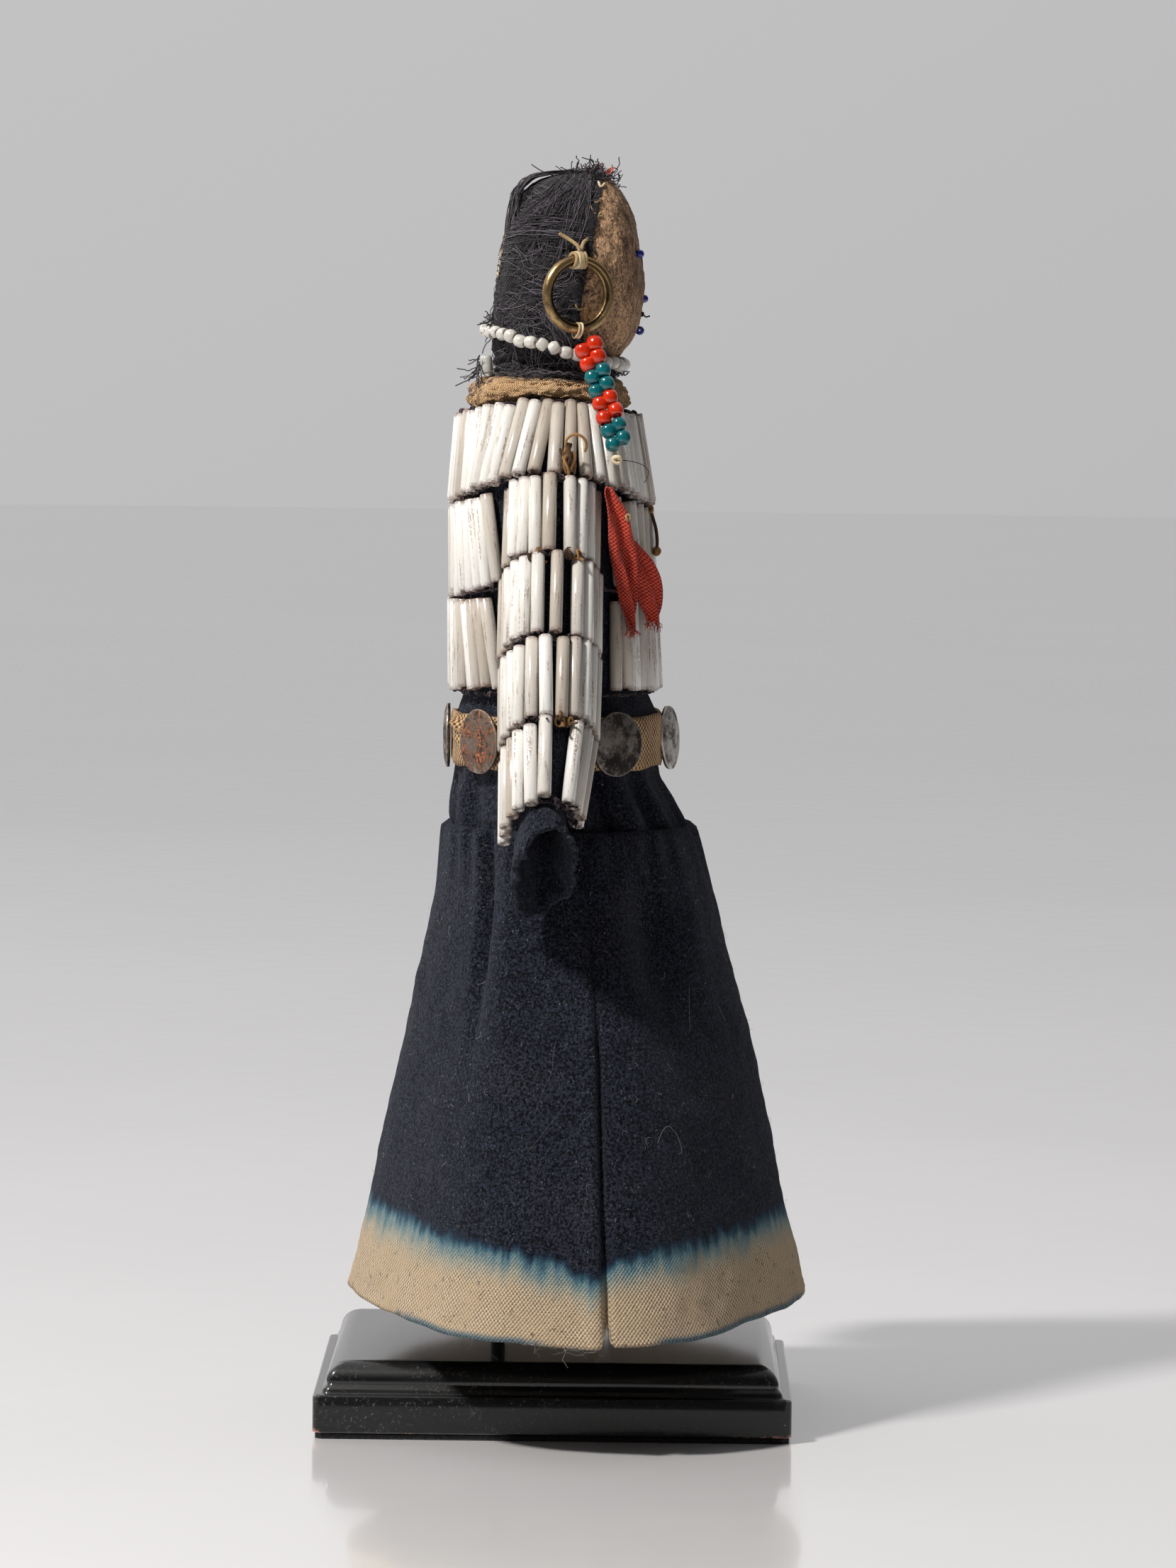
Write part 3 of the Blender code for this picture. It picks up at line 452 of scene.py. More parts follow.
def woolFinish(name, selvage=False):
    paint = Paint(name, Roughness=0.95, Sheen_Weight=0.12, Sheen_Roughness=0.45,
                  Sheen_Tint=(0.50, 0.53, 0.62, 1.0), Specular_IOR_Level=0.1)
    clump = paint.grain(1500.0, 3.0, 0.6)
    fibre = paint.grain(3400.0, 3.0, 0.7, warp=0.6)
    shade = paint.rise(clump * 0.6 + fibre * 0.4, 0.43, 0.60)
    worn = paint.rise(paint.grain(45.0, 3.0), 0.46, 0.7) * 0.5 * shade
    lint = paint.rise(paint.grain(2100.0, 2.0, 0.4), 0.66, 0.74) * paint.rise(paint.grain(160.0), 0.36, 0.58)
    wool = paint.blend((4, 5, 8), ((49, 53, 67), shade), ((58, 58, 64), worn), ((122, 126, 138), lint * 0.8))
    height = clump * 0.6 + fibre * 0.5
    if not selvage:
        return paint.wear(Base_Color=wool, Normal=paint.relief(height, 0.0006))
    # the undyed edge: "dye" is how far above the dye's edge a point is, in millimetres
    tooth = paint.grain(1.0, 3.0, 0.6, at=paint.stretch(paint.coords, (270.0, 42.0, 1.0)))
    edge = paint.own("dye") + (tooth - 0.5) * 7.0 + (paint.grain(150.0) - 0.5) * 5.0 + (fibre - 0.5) * 1.6
    weave = paint.weave(0.00112)
    felted = paint.rise(paint.grain(90.0, 2.0), 0.40, 0.62)
    soil = paint.rise(paint.grain(620.0, 3.0), 0.62, 0.70)
    teal = paint.blend((54, 114, 134), ((26, 74, 102), shade))
    hem = paint.rise(paint.own("hem"), 2.0, 0.5) * paint.rise(paint.own("stain") + tooth * 0.5, 0.58, 0.9)
    bare = paint.blend((150, 126, 98), ((236, 214, 184), paint.rise(fibre * 0.5 + weave * 0.4, 0.22, 0.66)),
                       ((204, 180, 146), felted * 0.5), ((96, 84, 72), soil * 0.6), (teal, hem * 0.8),
                       ((120, 156, 160), paint.rise(edge, -8.0, 0.5) * 0.8), (teal, paint.rise(edge, -4.0, 1.6) * 0.8))
    deep = paint.blend((16, 36, 58), (wool, paint.rise(edge, 0.4, 3.6)))
    colour = paint.blend(bare, (deep, paint.rise(edge, -1.6, 2.6)))
    height = height + weave * 0.8 * paint.rise(edge, 1.5, -2.0)
    return paint.wear(Base_Color=colour, Normal=paint.relief(height, 0.0006))


def tubeFinish():
    paint = Paint("milk_glass", Coat_Weight=0.35, Coat_Roughness=0.08, IOR=1.5)
    shade = paint.own("shade")
    seed = paint.add("ShaderNodeCombineXYZ", inputs=(shade * 37.0, shade * 11.0, 0.0))
    lay = paint.add("ShaderNodeVectorMath", {"operation": "ADD"}, (paint.coords, seed))
    streak = paint.grain(1.0, 4.0, 0.7, at=paint.stretch(lay, (9.0, 1.2, 1.0)))
    speck = paint.grain(1500.0, 3.0, 0.7)
    end = paint.rise(abs(paint.part(paint.coords, 1) - 0.5), 0.44, 0.5) * paint.rise(speck, 0.32, 0.55)
    dirt = paint.rise(streak, 0.52, 0.66) * paint.rise(speck, 0.38, 0.54)
    glass = paint.blend((186, 176, 163), ((238, 236, 231), paint.rise(shade, 0.05, 0.85)),
                        ((116, 84, 64), dirt * 0.75), ((112, 78, 66), end * 0.75))
    gloss = 0.16 + dirt * 0.4 + speck * 0.10
    return paint.wear(Base_Color=glass, Roughness=gloss, Normal=paint.relief(streak + speck * 0.3, 0.0001, 0.5))


def beadFinish(name, first, second=None, rough=0.16):
    # glass beads; "shade" above one half takes the second colour
    paint = Paint(name, Coat_Weight=0.6, Coat_Roughness=0.06)
    swirl = paint.rise(paint.grain(420.0, 4.0, 0.6, warp=1.5), 0.4, 0.7)
    speck = paint.grain(2600.0, 3.0)
    colour = paint.blend(first, ([c * 1.12 + 5 for c in first], swirl))
    if second:
        other = paint.blend(second, ([c * 1.15 + 6 for c in second], swirl))
        colour = paint.blend(colour, (other, paint.rise(paint.own("shade"), 0.49, 0.51)))
    colour = paint.blend(colour, ((90, 72, 60), paint.rise(speck, 0.66, 0.8) * 0.35))
    return paint.wear(Base_Color=colour, Roughness=rough + speck * 0.12, Normal=paint.relief(speck, 0.00004, 0.6))


def clothFinish(name, dark, light, pitch, spots=None, sheen=0.1, relief=0.00035, slub=0.5):
    paint = Paint(name, Roughness=0.92, Sheen_Weight=sheen, Specular_IOR_Level=0.2)
    weave = paint.weave(pitch, paint.grain(260.0, 2.0) * 2.2)
    fibre = paint.grain(2600.0, 4.0, 0.7)
    worn = paint.grain(110.0, 4.0, 0.6)
    mixed = (weave - 0.5) * slub + (fibre - 0.5) * 0.9 + (worn - 0.5) * 0.6
    colour = paint.blend(dark, (light, paint.rise(mixed, -0.26, 0.26)))
    if spots:
        spot = paint.rise(paint.grain(260.0, 2.0, 0.4, warp=0.4), 0.61, 0.68)
        colour = paint.blend(colour, (spots, spot * 0.85))
    return paint.wear(Base_Color=colour, Normal=paint.relief(weave * 0.6 + fibre * 0.6 + worn * 0.4, relief))


def hideFinish():
    paint = Paint("hide", Specular_IOR_Level=0.3)
    lay = paint.stretch(paint.place, (1.0, 1.0, 0.55))
    broad = paint.grain(75.0, 5.0, 0.6)
    crease = abs(paint.grain(520.0, 3.0, 0.6, at=lay, warp=1.6) - 0.5)
    fine = paint.grain(2300.0, 4.0, 0.7)
    folds = paint.grain(480.0, 4.0, 0.7, at=lay, warp=0.8)
    grit = paint.grain(1500.0, 4.0, 0.75)
    pale = paint.rise(paint.grain(900.0, 1.0), 0.76, 0.80)
    spots = paint.add("ShaderNodeTexVoronoi", inputs={"Vector": paint.place, "Scale": 800.0})
    pore = paint.rise(spots, 0.13, 0.05)
    worn = paint.rise(broad * 0.35 + folds * 0.35 + grit * 0.4, 0.44, 0.64)
    skin = paint.blend((92, 62, 46), ((244, 198, 154), worn))
    # painted shade: the front of the face, which turns away from the light, is mixed half towards a darker brown
    colour = paint.blend((62, 44, 34), (skin, paint.rise(crease + fine * 0.03, 0.012, 0.04)),
                         ((120, 96, 78), paint.rise(paint.part(paint.place, 1), -0.012, -0.018) * 0.5),
                         ((226, 206, 170), pale * 0.8), ((40, 30, 26), pore * 0.55))
    height = folds * 1.1 + grit * 0.8 + paint.rise(crease, 0.0, 0.05) * 0.3 + fine * 0.3 - pore * 0.4
    return paint.wear(Base_Color=colour, Roughness=0.55 + fine * 0.3, Normal=paint.relief(height, 0.0008))


def metalFinish(name, bright, dark, rust=0.0, rough=0.3, shade=0.5):
    # "seam" paints shade into the slit of a rolled joint and "rim" wears one bright
    paint = Paint(name, IOR=1.8)
    broad = paint.grain(260.0, 5.0, 0.65)
    fine = paint.grain(1700.0, 4.0, 0.7)
    tarnish = paint.rise(broad * 0.8 + fine * 0.3, shade, shade + 0.22)
    # the near-black mixed in where "seam" is high is painted shade in the slit of the rolled joint
    colour = paint.blend(bright, (dark, tarnish), ((34, 22, 12), paint.rise(paint.own("seam"), 0.35, 0.7) * 0.9))
    gloss = rough + tarnish * 0.3 + fine * 0.12
    metal = 1.0 - tarnish * 0.25
    if rust:
        patch = paint.rise(paint.grain(640.0, 6.0, 0.75, warp=0.8), 0.66 - rust * 0.3, 0.74 - rust * 0.3)
        crust = paint.blend((48, 32, 25), ((168, 98, 56), paint.rise(fine * 0.6 + broad * 0.5, 0.46, 0.66)))
        colour = paint.blend(colour, (crust, patch))
        gloss = gloss + patch * 0.4
        metal = metal * (1.0 - patch)
    worn = paint.rise(paint.own("rim") * 0.7 + broad * 0.5, 0.72, 0.86)
    colour = paint.blend(colour, (bright, worn * 0.8))
    height = broad * 0.3 + fine * 0.4 + tarnish * 0.3
    return paint.wear(Base_Color=colour, Roughness=gloss, Metallic=metal, Normal=paint.relief(height, 0.00012, 0.7))


def threadFinish(name, dark, light):
    paint = Paint(name, Roughness=0.85, Sheen_Weight=0.15, Specular_IOR_Level=0.25)
    twist = paint.grain(2400.0, 3.0, 0.7)
    tint = paint.rise(twist * 0.5 + paint.own("shade") * 0.7, 0.35, 0.95)
    return paint.wear(Base_Color=paint.blend(dark, (light, tint)), Normal=paint.relief(twist, 0.0002))


def lacquerFinish():
    paint = Paint("black_lacquer", Coat_Weight=0.9, Coat_Roughness=0.11, Specular_IOR_Level=0.3)
    side, reach, height = (paint.part(paint.place, axis) for axis in range(3))
    brush = paint.grain(1.0, 4.0, 0.6, at=paint.stretch(paint.place, (900.0, 60.0, 900.0)))
    speck = paint.rise(paint.grain(1300.0, 3.0, 0.75), 0.57, 0.70) * paint.rise(paint.grain(70.0, 3.0), 0.38, 0.62)
    # chips show the wood, most of them low down and at the corners
    low = paint.rise(height, 0.0032, 0.0012) * paint.rise(paint.grain(55.0, 2.0), 0.50, 0.60)
    corner = paint.rise((side * side + reach * reach) ** 0.5, 0.0725, 0.0765)
    chip = paint.rise(paint.grain(420.0, 4.0, 0.7) + low * 0.26 + corner * 0.16, 0.74, 0.80)
    colour = paint.blend((5, 5, 6), ((17, 17, 19), paint.rise(brush, 0.35, 0.7)), ((118, 116, 120), speck * 0.6),
                         ((176, 120, 104), chip))
    bump = brush * 0.15 + speck * 0.25 - chip * 0.8
    gloss = 0.34 + brush * 0.14 + chip * 0.4 + speck * 0.25
    return paint.wear(Base_Color=colour, Roughness=gloss, Normal=paint.relief(bump, 0.0003, 0.6))


def floorFinish():
    paint = Paint("pale_gloss_board", Coat_Weight=0.4, Coat_Roughness=0.05)
    speck = paint.rise(paint.grain(700.0, 2.0), 0.74, 0.78)
    colour = paint.blend((234, 233, 234), ((238, 237, 238), paint.rise(paint.grain(3.0, 2.0), 0.35, 0.65)),
                         ((170, 168, 170), speck * 0.3))
    gloss = 0.13 + paint.grain(60.0, 3.0) * 0.04
    return paint.wear(Base_Color=colour, Roughness=gloss)


def feltFinish():
    paint = Paint("dark_felt", Roughness=0.95, Sheen_Weight=0.2)
    fibre = paint.grain(2600.0, 4.0, 0.7)
    return paint.wear(Base_Color=paint.blend((14, 14, 16), ((58, 58, 62), paint.rise(fibre, 0.4, 0.7))),
                      Normal=paint.relief(fibre, 0.0004))


wool = woolFinish("navy_wool")
skirtWool = woolFinish("navy_wool_with_selvage", True)
milkGlass = tubeFinish()
whiteGlass = beadFinish("white_beads", (198, 194, 186))
stringGlass = beadFinish("red_and_teal_beads", (196, 40, 2), (0, 92, 98))
cobaltGlass = beadFinish("cobalt_beads", (14, 28, 128))
muslin = clothFinish("tan_muslin", (158, 112, 72), (255, 216, 164), 0.00062, spots=(84, 56, 62), relief=0.0007)
hoodCloth = clothFinish("threadbare_hood_cloth", (4, 4, 5), (66, 62, 68), 0.00066, relief=0.0009, slub=0.7)
strapCloth = clothFinish("belt_webbing", (88, 60, 38), (224, 184, 134), 0.0014, slub=0.9, relief=0.0006)
ribbonCloth = clothFinish("red_ribbon", (126, 24, 18), (232, 88, 64), 0.00075, sheen=0.2, relief=0.0004, slub=0.8)
hide = hideFinish()
brass = metalFinish("worn_brass", (174, 146, 102), (70, 50, 32), rough=0.26, shade=0.50)
discSteel = metalFinish("dark_disc_steel", (150, 142, 134), (34, 29, 26), rust=0.12, rough=0.36, shade=0.42)
discRust = metalFinish("rusted_disc_steel", (150, 136, 122), (60, 48, 40), rust=0.62, rough=0.36, shade=0.42)
discBright = metalFinish("bright_disc_steel", (208, 204, 198), (62, 54, 48), rust=0.2, rough=0.3, shade=0.46)
postSteel = metalFinish("black_post_steel", (60, 60, 62), (20, 20, 22), rust=0.12, rough=0.35)
sinew = threadFinish("pale_sinew", (172, 146, 106), (242, 224, 186))
darkThread = threadFinish("dark_thread", (30, 22, 30), (84, 66, 70))
hoodThread = threadFinish("hood_threads", (11, 10, 13), (104, 98, 106))
brownThread = threadFinish("brown_thread", (70, 48, 30), (160, 118, 70))
lintThread = threadFinish("pale_lint", (112, 108, 104), (200, 196, 190))
redThread = threadFinish("red_lint", (150, 40, 30), (224, 96, 70))
lacquer = lacquerFinish()
print("finishes made")

# ---- floor, stand, felt and post

stand = {"length": 0.110, "width": 0.104, "bottom": 0.0014, "top": 0.0173, "corner": 0.0016, "steps": 7,
         "postRadius": 0.0017, "postBehind": 0.0134, "socketFloor": 0.0086}


def buildFloor():
    rings = [oval(around(96), radius, radius, 0.0, 0.0) for radius in (0.001, 0.2, 1.0, 7.0)]
    floor = gridPiece("floor", np.array(rings), floorFinish(), ends="open")
    if floor.data.polygons[0].normal.z < 0.0:
        floor.data.flip_normals()


def squareRing(halfX, halfY, radius, level, steps):
    ring = []
    for quarter in range(4):
        signX, signY = (1, -1, -1, 1)[quarter], (1, 1, -1, -1)[quarter]
        for step in range(steps + 1):
            angle = pi / 2 * (quarter + step / steps)
            ring.append((signX * (halfX - radius) + radius * cos(angle),
                         signY * (halfY - radius) + radius * sin(angle), level))
    return ring


standProfile = (
    (0.0003, 0.0), (0.0, 0.0003), (0.0, 0.0026), (0.0, 0.0060), (0.0, 0.0083), (0.0003, 0.0087), (0.0009, 0.0088),
    (0.0019, 0.0089), (0.0021, 0.0092), (0.0022, 0.0097), (0.0025, 0.0102), (0.0029, 0.0106), (0.0031, 0.0110),
    (0.0030, 0.0114), (0.0030, 0.0119), (0.0032, 0.0127), (0.0036, 0.0136), (0.0042, 0.0144), (0.0050, 0.0151),
    (0.0059, 0.0156), (0.0068, 0.0159), (0.0078, 0.01595), (0.0095, 0.01595),
)


def buildStand():
    rings = []
    tall = standProfile[-1][1]
    for inset, height in standProfile:
        level = stand["bottom"] + height / tall * (stand["top"] - stand["bottom"])
        rings.append(squareRing(stand["width"] / 2 - inset, stand["length"] / 2 - inset, stand["corner"], level,
                                stand["steps"]))
    # the top runs in to the socket round the post
    outer = rings[-1]
    bore = stand["postRadius"] + 0.0003
    for share in (0.3, 0.65, 1.0):
        ring = []
        for x, y, z in outer:
            angle = atan2(y, x)
            goal = (bore * cos(angle), stand["postBehind"] + bore * sin(angle))
            ring.append((x + (goal[0] - x) * share, y + (goal[1] - y) * share, z))
        rings.append(ring)
    rings.append([(x, y, stand["socketFloor"]) for x, y, z in rings[-1]])
    base = gridPiece("lacquered_stand", np.array(rings), lacquer, "base", ends="closed")
    base.modifiers.new("corners", "EDGE_SPLIT").split_angle = radians(38.0)
    bpy.data.objects["base_felt"].data.materials[0] = feltFinish()


def buildPost():
    low, high = stand["socketFloor"] + 0.0003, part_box("post")[1][2]
    profile = ((0.9, low), (1.0, low + 0.0005), (1.0, 0.05), (1.0, 0.10), (0.98, high - 0.0006), (0.8, high))
    sizes, heights = (np.array(column)[:, None] for column in zip(*profile))
    radius = sizes * stand["postRadius"]
    grid = oval(around(28), radius, radius, stand["postBehind"], heights)
    gridPiece("steel_post", grid, postSteel, "post", ends="closed")


buildFloor()
buildStand()
buildPost()
print("stand built")

# ---- shapes of the dress, repeated from the solids

levels = {"hem": 0.0305, "skirtTop": 0.1378, "beltBottom": 0.1528, "beltTop": 0.1653,
          "rowThree": 0.1705, "rowTwo": 0.1920, "rowOne": 0.2135, "neckline": 0.2345,
          "neckBottom": 0.2438, "headHeight": 0.0477}
tube = {"radius": 0.0017, "bore": 0.00075, "length": 0.0210, "pitch": 0.00343}

bodyLevels = (0.1318, 0.1378, 0.1498, 0.1653, 0.1705, 0.2135, 0.2345)
bodySide = (0.036, 0.036, 0.0336, 0.0336, 0.0321, 0.0309, 0.0184)
bodyDepth = (0.0269, 0.0269, 0.0232, 0.0232, 0.0213, 0.0204, 0.0181)
bodyOffset = (-0.0021, -0.0021, 0.001, 0.001, 0.0016, 0.003, 0.0039)
bodyRise = (0.0, 0.0, 0.0, 0.0, 0.0, 0.008, 0.0032)


def bodyAt(level, angle, out=0.0):
    side, depth, offset, rise = (np.interp(level, bodyLevels, column)
                                 for column in (bodySide, bodyDepth, bodyOffset, bodyRise))
    return oval(angle, side + out, depth + out, offset, level, rise)


skirt = {"topSide": 0.039, "topFront": 0.032, "topRear": 0.0278, "hemFront": 0.0589, "hemRear": 0.0477,
         "hemSide": 0.082, "sag": 0.0049, "cloth": 0.0021, "columns": 420, "rows": 112,
         "seamAngle": radians(187.6), "foldDepth": 0.0018}
skirtShares = (0.0, 0.1, 0.29, 0.447, 0.61, 0.8, 1.0)
skirtGrowth = {"Front": (0.0, 0.113, 0.312, 0.49, 0.643, 0.8, 1.0),
               "Rear": (0.0, 0.025, 0.174, 0.338, 0.537, 0.735, 1.0),
               "Side": (0.0, 0.087, 0.304, 0.489, 0.652, 0.828, 1.0)}


def skirtAt(share, angle, out=0.0):
    front, rear, side = (skirt["top" + name] + (skirt["hem" + name] - skirt["top" + name])
                         * smoothLine(share, skirtShares, growth) for name, growth in skirtGrowth.items())
    wave = 0.65 * np.cos(7 * angle + 0.6) + 0.35 * np.cos(4 * angle - 1.0)
    grow = out + skirt["foldDepth"] * np.minimum(1.0, 3.0 * share) * (1.0 - 0.3 * share) * wave
    level = levels["skirtTop"] + (levels["hem"] - levels["skirtTop"]) * share
    return oval(angle, side + grow, (rear + front) / 2 + grow, (rear - front) / 2, level, -skirt["sag"] * share)


sleeve = {"tilt": radians(25.0), "rootSide": 0.0215, "rootLevel": 0.2161, "offset": 0.0025, "out": 0.0124,
          "in": 0.014, "halfDepth": 0.0079, "length": 0.0925, "cuffOut": 0.0173, "cuffIn": 0.0176, "slant": 0.21,
          "straight": 0.0812, "cloth": 0.0016, "rowPitch": 0.0203}
sleeveStations = (-0.014, -0.004, 0.002, 0.058, 0.0812, 0.0925)
sleeveScales = {"out": (0.25, 0.68, 0.97, 0.99, 1.0, 1.0), "in": (0.25, 0.64, 0.85, 0.96, 1.0, 1.0),
                "rear": (0.5, 0.88, 1.0, 0.98, 0.85, 1.0), "front": (0.5, 0.88, 1.0, 0.98, 0.55, 0.95)}


def sleeveAt(side, angle, along, out=0.0):
    down = np.array((side * sin(sleeve["tilt"]), 0.0, -cos(sleeve["tilt"])))
    sideways = np.array((side * cos(sleeve["tilt"]), 0.0, sin(sleeve["tilt"])))
    root = np.array((side * sleeve["rootSide"], sleeve["offset"], sleeve["rootLevel"]))
    cuff = np.clip((along - sleeve["straight"]) / (sleeve["length"] - sleeve["straight"]), 0.0, 1.2)
    scales = {key: np.interp(along, sleeveStations, values) for key, values in sleeveScales.items()}
    reach = np.where(np.cos(angle) < 0.0,
                     sleeve["in"] * scales["in"] * (1 - cuff) + sleeve["cuffIn"] * cuff,
                     sleeve["out"] * scales["out"] * (1 - cuff) + sleeve["cuffOut"] * cuff)
    u = (reach + out) * np.cos(angle)
    v = (sleeve["halfDepth"] * np.where(np.sin(angle) > 0.0, scales["rear"], scales["front"]) + out) * np.sin(angle)
    far = along - sleeve["slant"] * u * cuff
    u, v, far = (axis[..., None] for axis in np.broadcast_arrays(u, v, far))
    return root + u * sideways + v * np.array((0.0, 1.0, 0.0)) + far * down


# ---- skirt

# folds: depth, angle in degrees, width, share of the way down, height, and 1 where they start below the waist
skirtFolds = (
    (0.0024, 154.0, 0.14, 0.18, 0.24, 0), (-0.0044, 141.0, 0.055, 0.17, 0.2, 0),
    (0.0010, 24.0, 0.18, 0.2, 0.25, 0), (-0.0028, 36.0, 0.06, 0.15, 0.2, 0),
    (-0.0046, 211.0, 0.17, 0.15, 0.22, 1), (0.0020, 233.0, 0.15, 0.2, 0.25, 1),
)


def buildSkirt():
    columns = skirt["columns"]
    angle = around(columns)[None, :]
    share = (np.linspace(0.0, 1.0, skirt["rows"]) ** 0.9)[:, None]
    soft = np.minimum(1.0, 5.0 * share)
    fold = 0.0
    for depth, degrees, width, middle, tall, lower in skirtFolds:
        fold = fold + depth * near(angle, degrees, width) * bumpAt(share, middle, tall) * (soft if lower else 1.0)
    gathers = np.cos(23 * angle + 2.0 * np.sin(3 * angle)) * 0.6 + np.cos(37 * angle + 1.0) * 0.4
    fold = fold + 0.0006 * gathers * bumpAt(share, 0.0, 0.10)
    seams = []
    for middle, lean in ((skirt["seamAngle"], 0.03), (radians(-7.0), -0.03)):
        off = apart(angle, middle - lean + lean * share)
        seams.append(off)
        deep = (0.25 + 0.75 * within((share - 0.1) / 0.5)) * soft
        fold = fold - 0.0026 * deep * bumpAt(off, 0.0, 0.014)
        fold = fold + 0.0009 * deep * bumpAt(off, -0.05 * np.sign(middle - pi + 3.2), 0.045)
    lumps = rough(skirtAt(share, angle, fold), 0.011, 3.0)
    outer = skirtAt(share, angle, fold + 0.0005 * lumps * soft)
    # the hem rises in a notch where each side seam meets it, and wavers a little
    hem = within((share - 0.90) / 0.10)
    for off in seams:
        outer[..., 2] += 0.0052 * hem**2 * within(1.0 - np.abs(off) / 0.020)
    waver = 0.0002 * np.sin(11 * angle + 1.3) + 0.0001 * np.sin(29 * angle) + 0.0002 * np.sin(4 * angle + 2.0)
    outer[..., 2] += waver * hem
    inner = (outer - outward(outer, -0.004) * skirt["cloth"])[:0:-4]
    # the edge at the waist: share, outward and upward
    edge = ((0.0, -0.0026, 0.0008), (0.0, -0.0012, 0.0013), (0.03, -0.0027, 0.0))
    lipIn, lipOut, innerTop = (skirtAt(drop + 0.0 * angle, angle, out) + upward * rise for drop, out, rise in edge)
    grid = np.concatenate([lipIn, lipOut, outer, inner, innerTop], 0)
    low = np.concatenate([np.full((2, columns), 0.1), outer[..., 2], inner[..., 2], np.full((1, columns), 0.13)], 0)
    # the dye stops lower on the sides than in front and behind
    line = 0.0445 + 0.0058 * np.sin(angle) ** 2 - 0.0018 * near(angle, 180.0, 0.25) - 0.0034 * near(angle, 183.0, 0.10)
    stain = 0.15 + 0.8 * (near(angle, -135.0, 0.45) + near(angle, 150.0, 0.3)) + 0.15 * np.sin(9 * angle)
    attributes = {"dye": (low - line) / mm, "hem": (low - outer[-1][None, :, 2]) / mm, "stain": within(stain)}
    made = gridPiece("wool_skirt", grid, skirtWool, "skirt", lay=(0.42, low[:, 0]), attributes=attributes)
    return outer


skirtSkin = buildSkirt()
print("skirt built")

# ---- bodice, torso and sleeves

bodice = {"columns": 240, "rows": 96, "cloth": 0.0015}


def buildBodice():
    angle = around(bodice["columns"])[None, :]
    level = np.linspace(bodyLevels[0], bodyLevels[-1], bodice["rows"])[:, None]
    belt = (levels["beltBottom"] + levels["beltTop"]) / 2
    pleats = np.cos(13 * angle + 1.8 * np.sin(2 * angle)) * 0.55 + np.cos(21 * angle + 0.8) * 0.45
    below = within((belt - level) / 0.014)
    above = within((level - levels["beltTop"]) / 0.004) * within((levels["rowThree"] + 0.004 - level) / 0.004)
    out = 0.0016 * pleats * below + 0.0004 * below - 0.0007 * (1.0 - pleats) * 0.5 * above
    # a deep lap of cloth in front of each arm
    for middle in (radians(214.0), radians(-34.0)):
        out = out + 0.0016 * bumpAt(apart(angle, middle), 0.0, 0.13) * below
        out = out - 0.0018 * bumpAt(apart(angle, middle - 0.2), 0.0, 0.06) * below
    out = within(out, -0.0024, 0.0026) * within((level - bodyLevels[0]) / 0.009, 0.25)
    lumps = rough(bodyAt(level, angle, 0.0), 0.006, 5.0)
    out = out + 0.0002 * lumps * within((levels["rowThree"] - level) / 0.004)
    grid = np.concatenate([bodyAt(level, angle, out), bodyAt(level, angle, out - bodice["cloth"])[::-1]], 0)
    made = gridPiece("wool_bodice", grid, wool, "bodice")


# the roll of muslin above the neckline: level, outward and the rise at the sides
torsoRoll = ((0.2335, -0.0023, 0.0032), (0.2353, -0.0020, 0.0031), (0.2360, -0.0008, 0.0026), (0.2370, 0.0003, 0.0018),
             (0.2384, 0.0006, 0.0013), (0.2400, 0.0001, 0.0007), (0.2412, -0.0006, 0.0002), (0.2423, -0.0014, 0.0),
             (0.2430, -0.0026, 0.0), (0.2434, -0.0042, 0.0))


def buildTorso():
    angle = around(260)
    hips = -0.0022
    grid = [oval(angle, 0.0321 + hips, 0.0213 + hips, 0.0013, level) for level in (0.1406, 0.1705)]
    grid += [bodyAt(level, angle, hips) for level in (0.2135, 0.2305)]
    stations = np.linspace(0.0, len(torsoRoll) - 1, 34)
    for level, out, rise in zip(*(smoothLine(stations, range(len(torsoRoll)), column) for column in zip(*torsoRoll))):
        grid.append(oval(angle, 0.0184 + out, 0.0181 + out, 0.0039, level, rise))
    grid = np.array(grid)
    # wrinkles run round the roll, with pulls under the necklace
    free = within((grid[..., 2] - 0.2350) / 0.0015) * within((0.2434 - grid[..., 2]) / 0.0012)
    long = grid * (1.0, 1.0, 3.2)
    wrinkle = 0.8 * rough(long, 0.0042, 9.0, 4) + 0.5 * rough(long, 0.0017, 2.0, 3)
    grid = grid + outward(grid, 0.0039) * (0.0013 * wrinkle * free)[..., None]
    grid[..., 2] += 0.0006 * rough(grid, 0.005, 4.0) * free
    made = gridPiece("stuffed_muslin_torso", grid, muslin, "muslin_torso", ends="closed",
                     lay=(0.125, grid[:, 0, 2] * 1.3))


def buildSleeve(label, side):
    angle = around(168)[None, :]
    along = np.linspace(-0.0045, sleeve["length"], 130)[:, None]
    bare = within((along - 0.0795) / 0.004)
    end = within((along - 0.086) / 0.0065)
    plain = sleeveAt(side, angle, along)
    ragged = (2.0 * np.sin(angle - 0.3) + 3.4 * bumpAt(apart(angle, 0.85), 0.0, 0.62) + 0.75 * np.sin(3 * angle + 1.1)
              + 0.25 * np.sin(8 * angle + 2.0) + 0.2 * np.sin(17 * angle + 3 * np.sin(angle)))
    along = along + 0.0012 * ragged * end
    out = (0.0007 * rough(plain, 0.008, 7.0 + side) + 0.0006 * bumpAt(angle, 0.35, 0.25)) * bare
    out = out + 0.0013 * rough(plain, 0.0035, 2.0) * end
    inner = sleeveAt(side, angle, along, out - sleeve["cloth"] + 0.0006 * end)
    grid = np.concatenate([sleeveAt(side, angle, along, out), inner[::-2]], 0)
    made = gridPiece(label + "_wool_sleeve", grid, wool, label + "_sleeve")


buildBodice()
buildTorso()
for label, side in sideNames.items():
    buildSleeve(label, side)
print("bodice, torso and sleeves built")

# ---- glass tubes


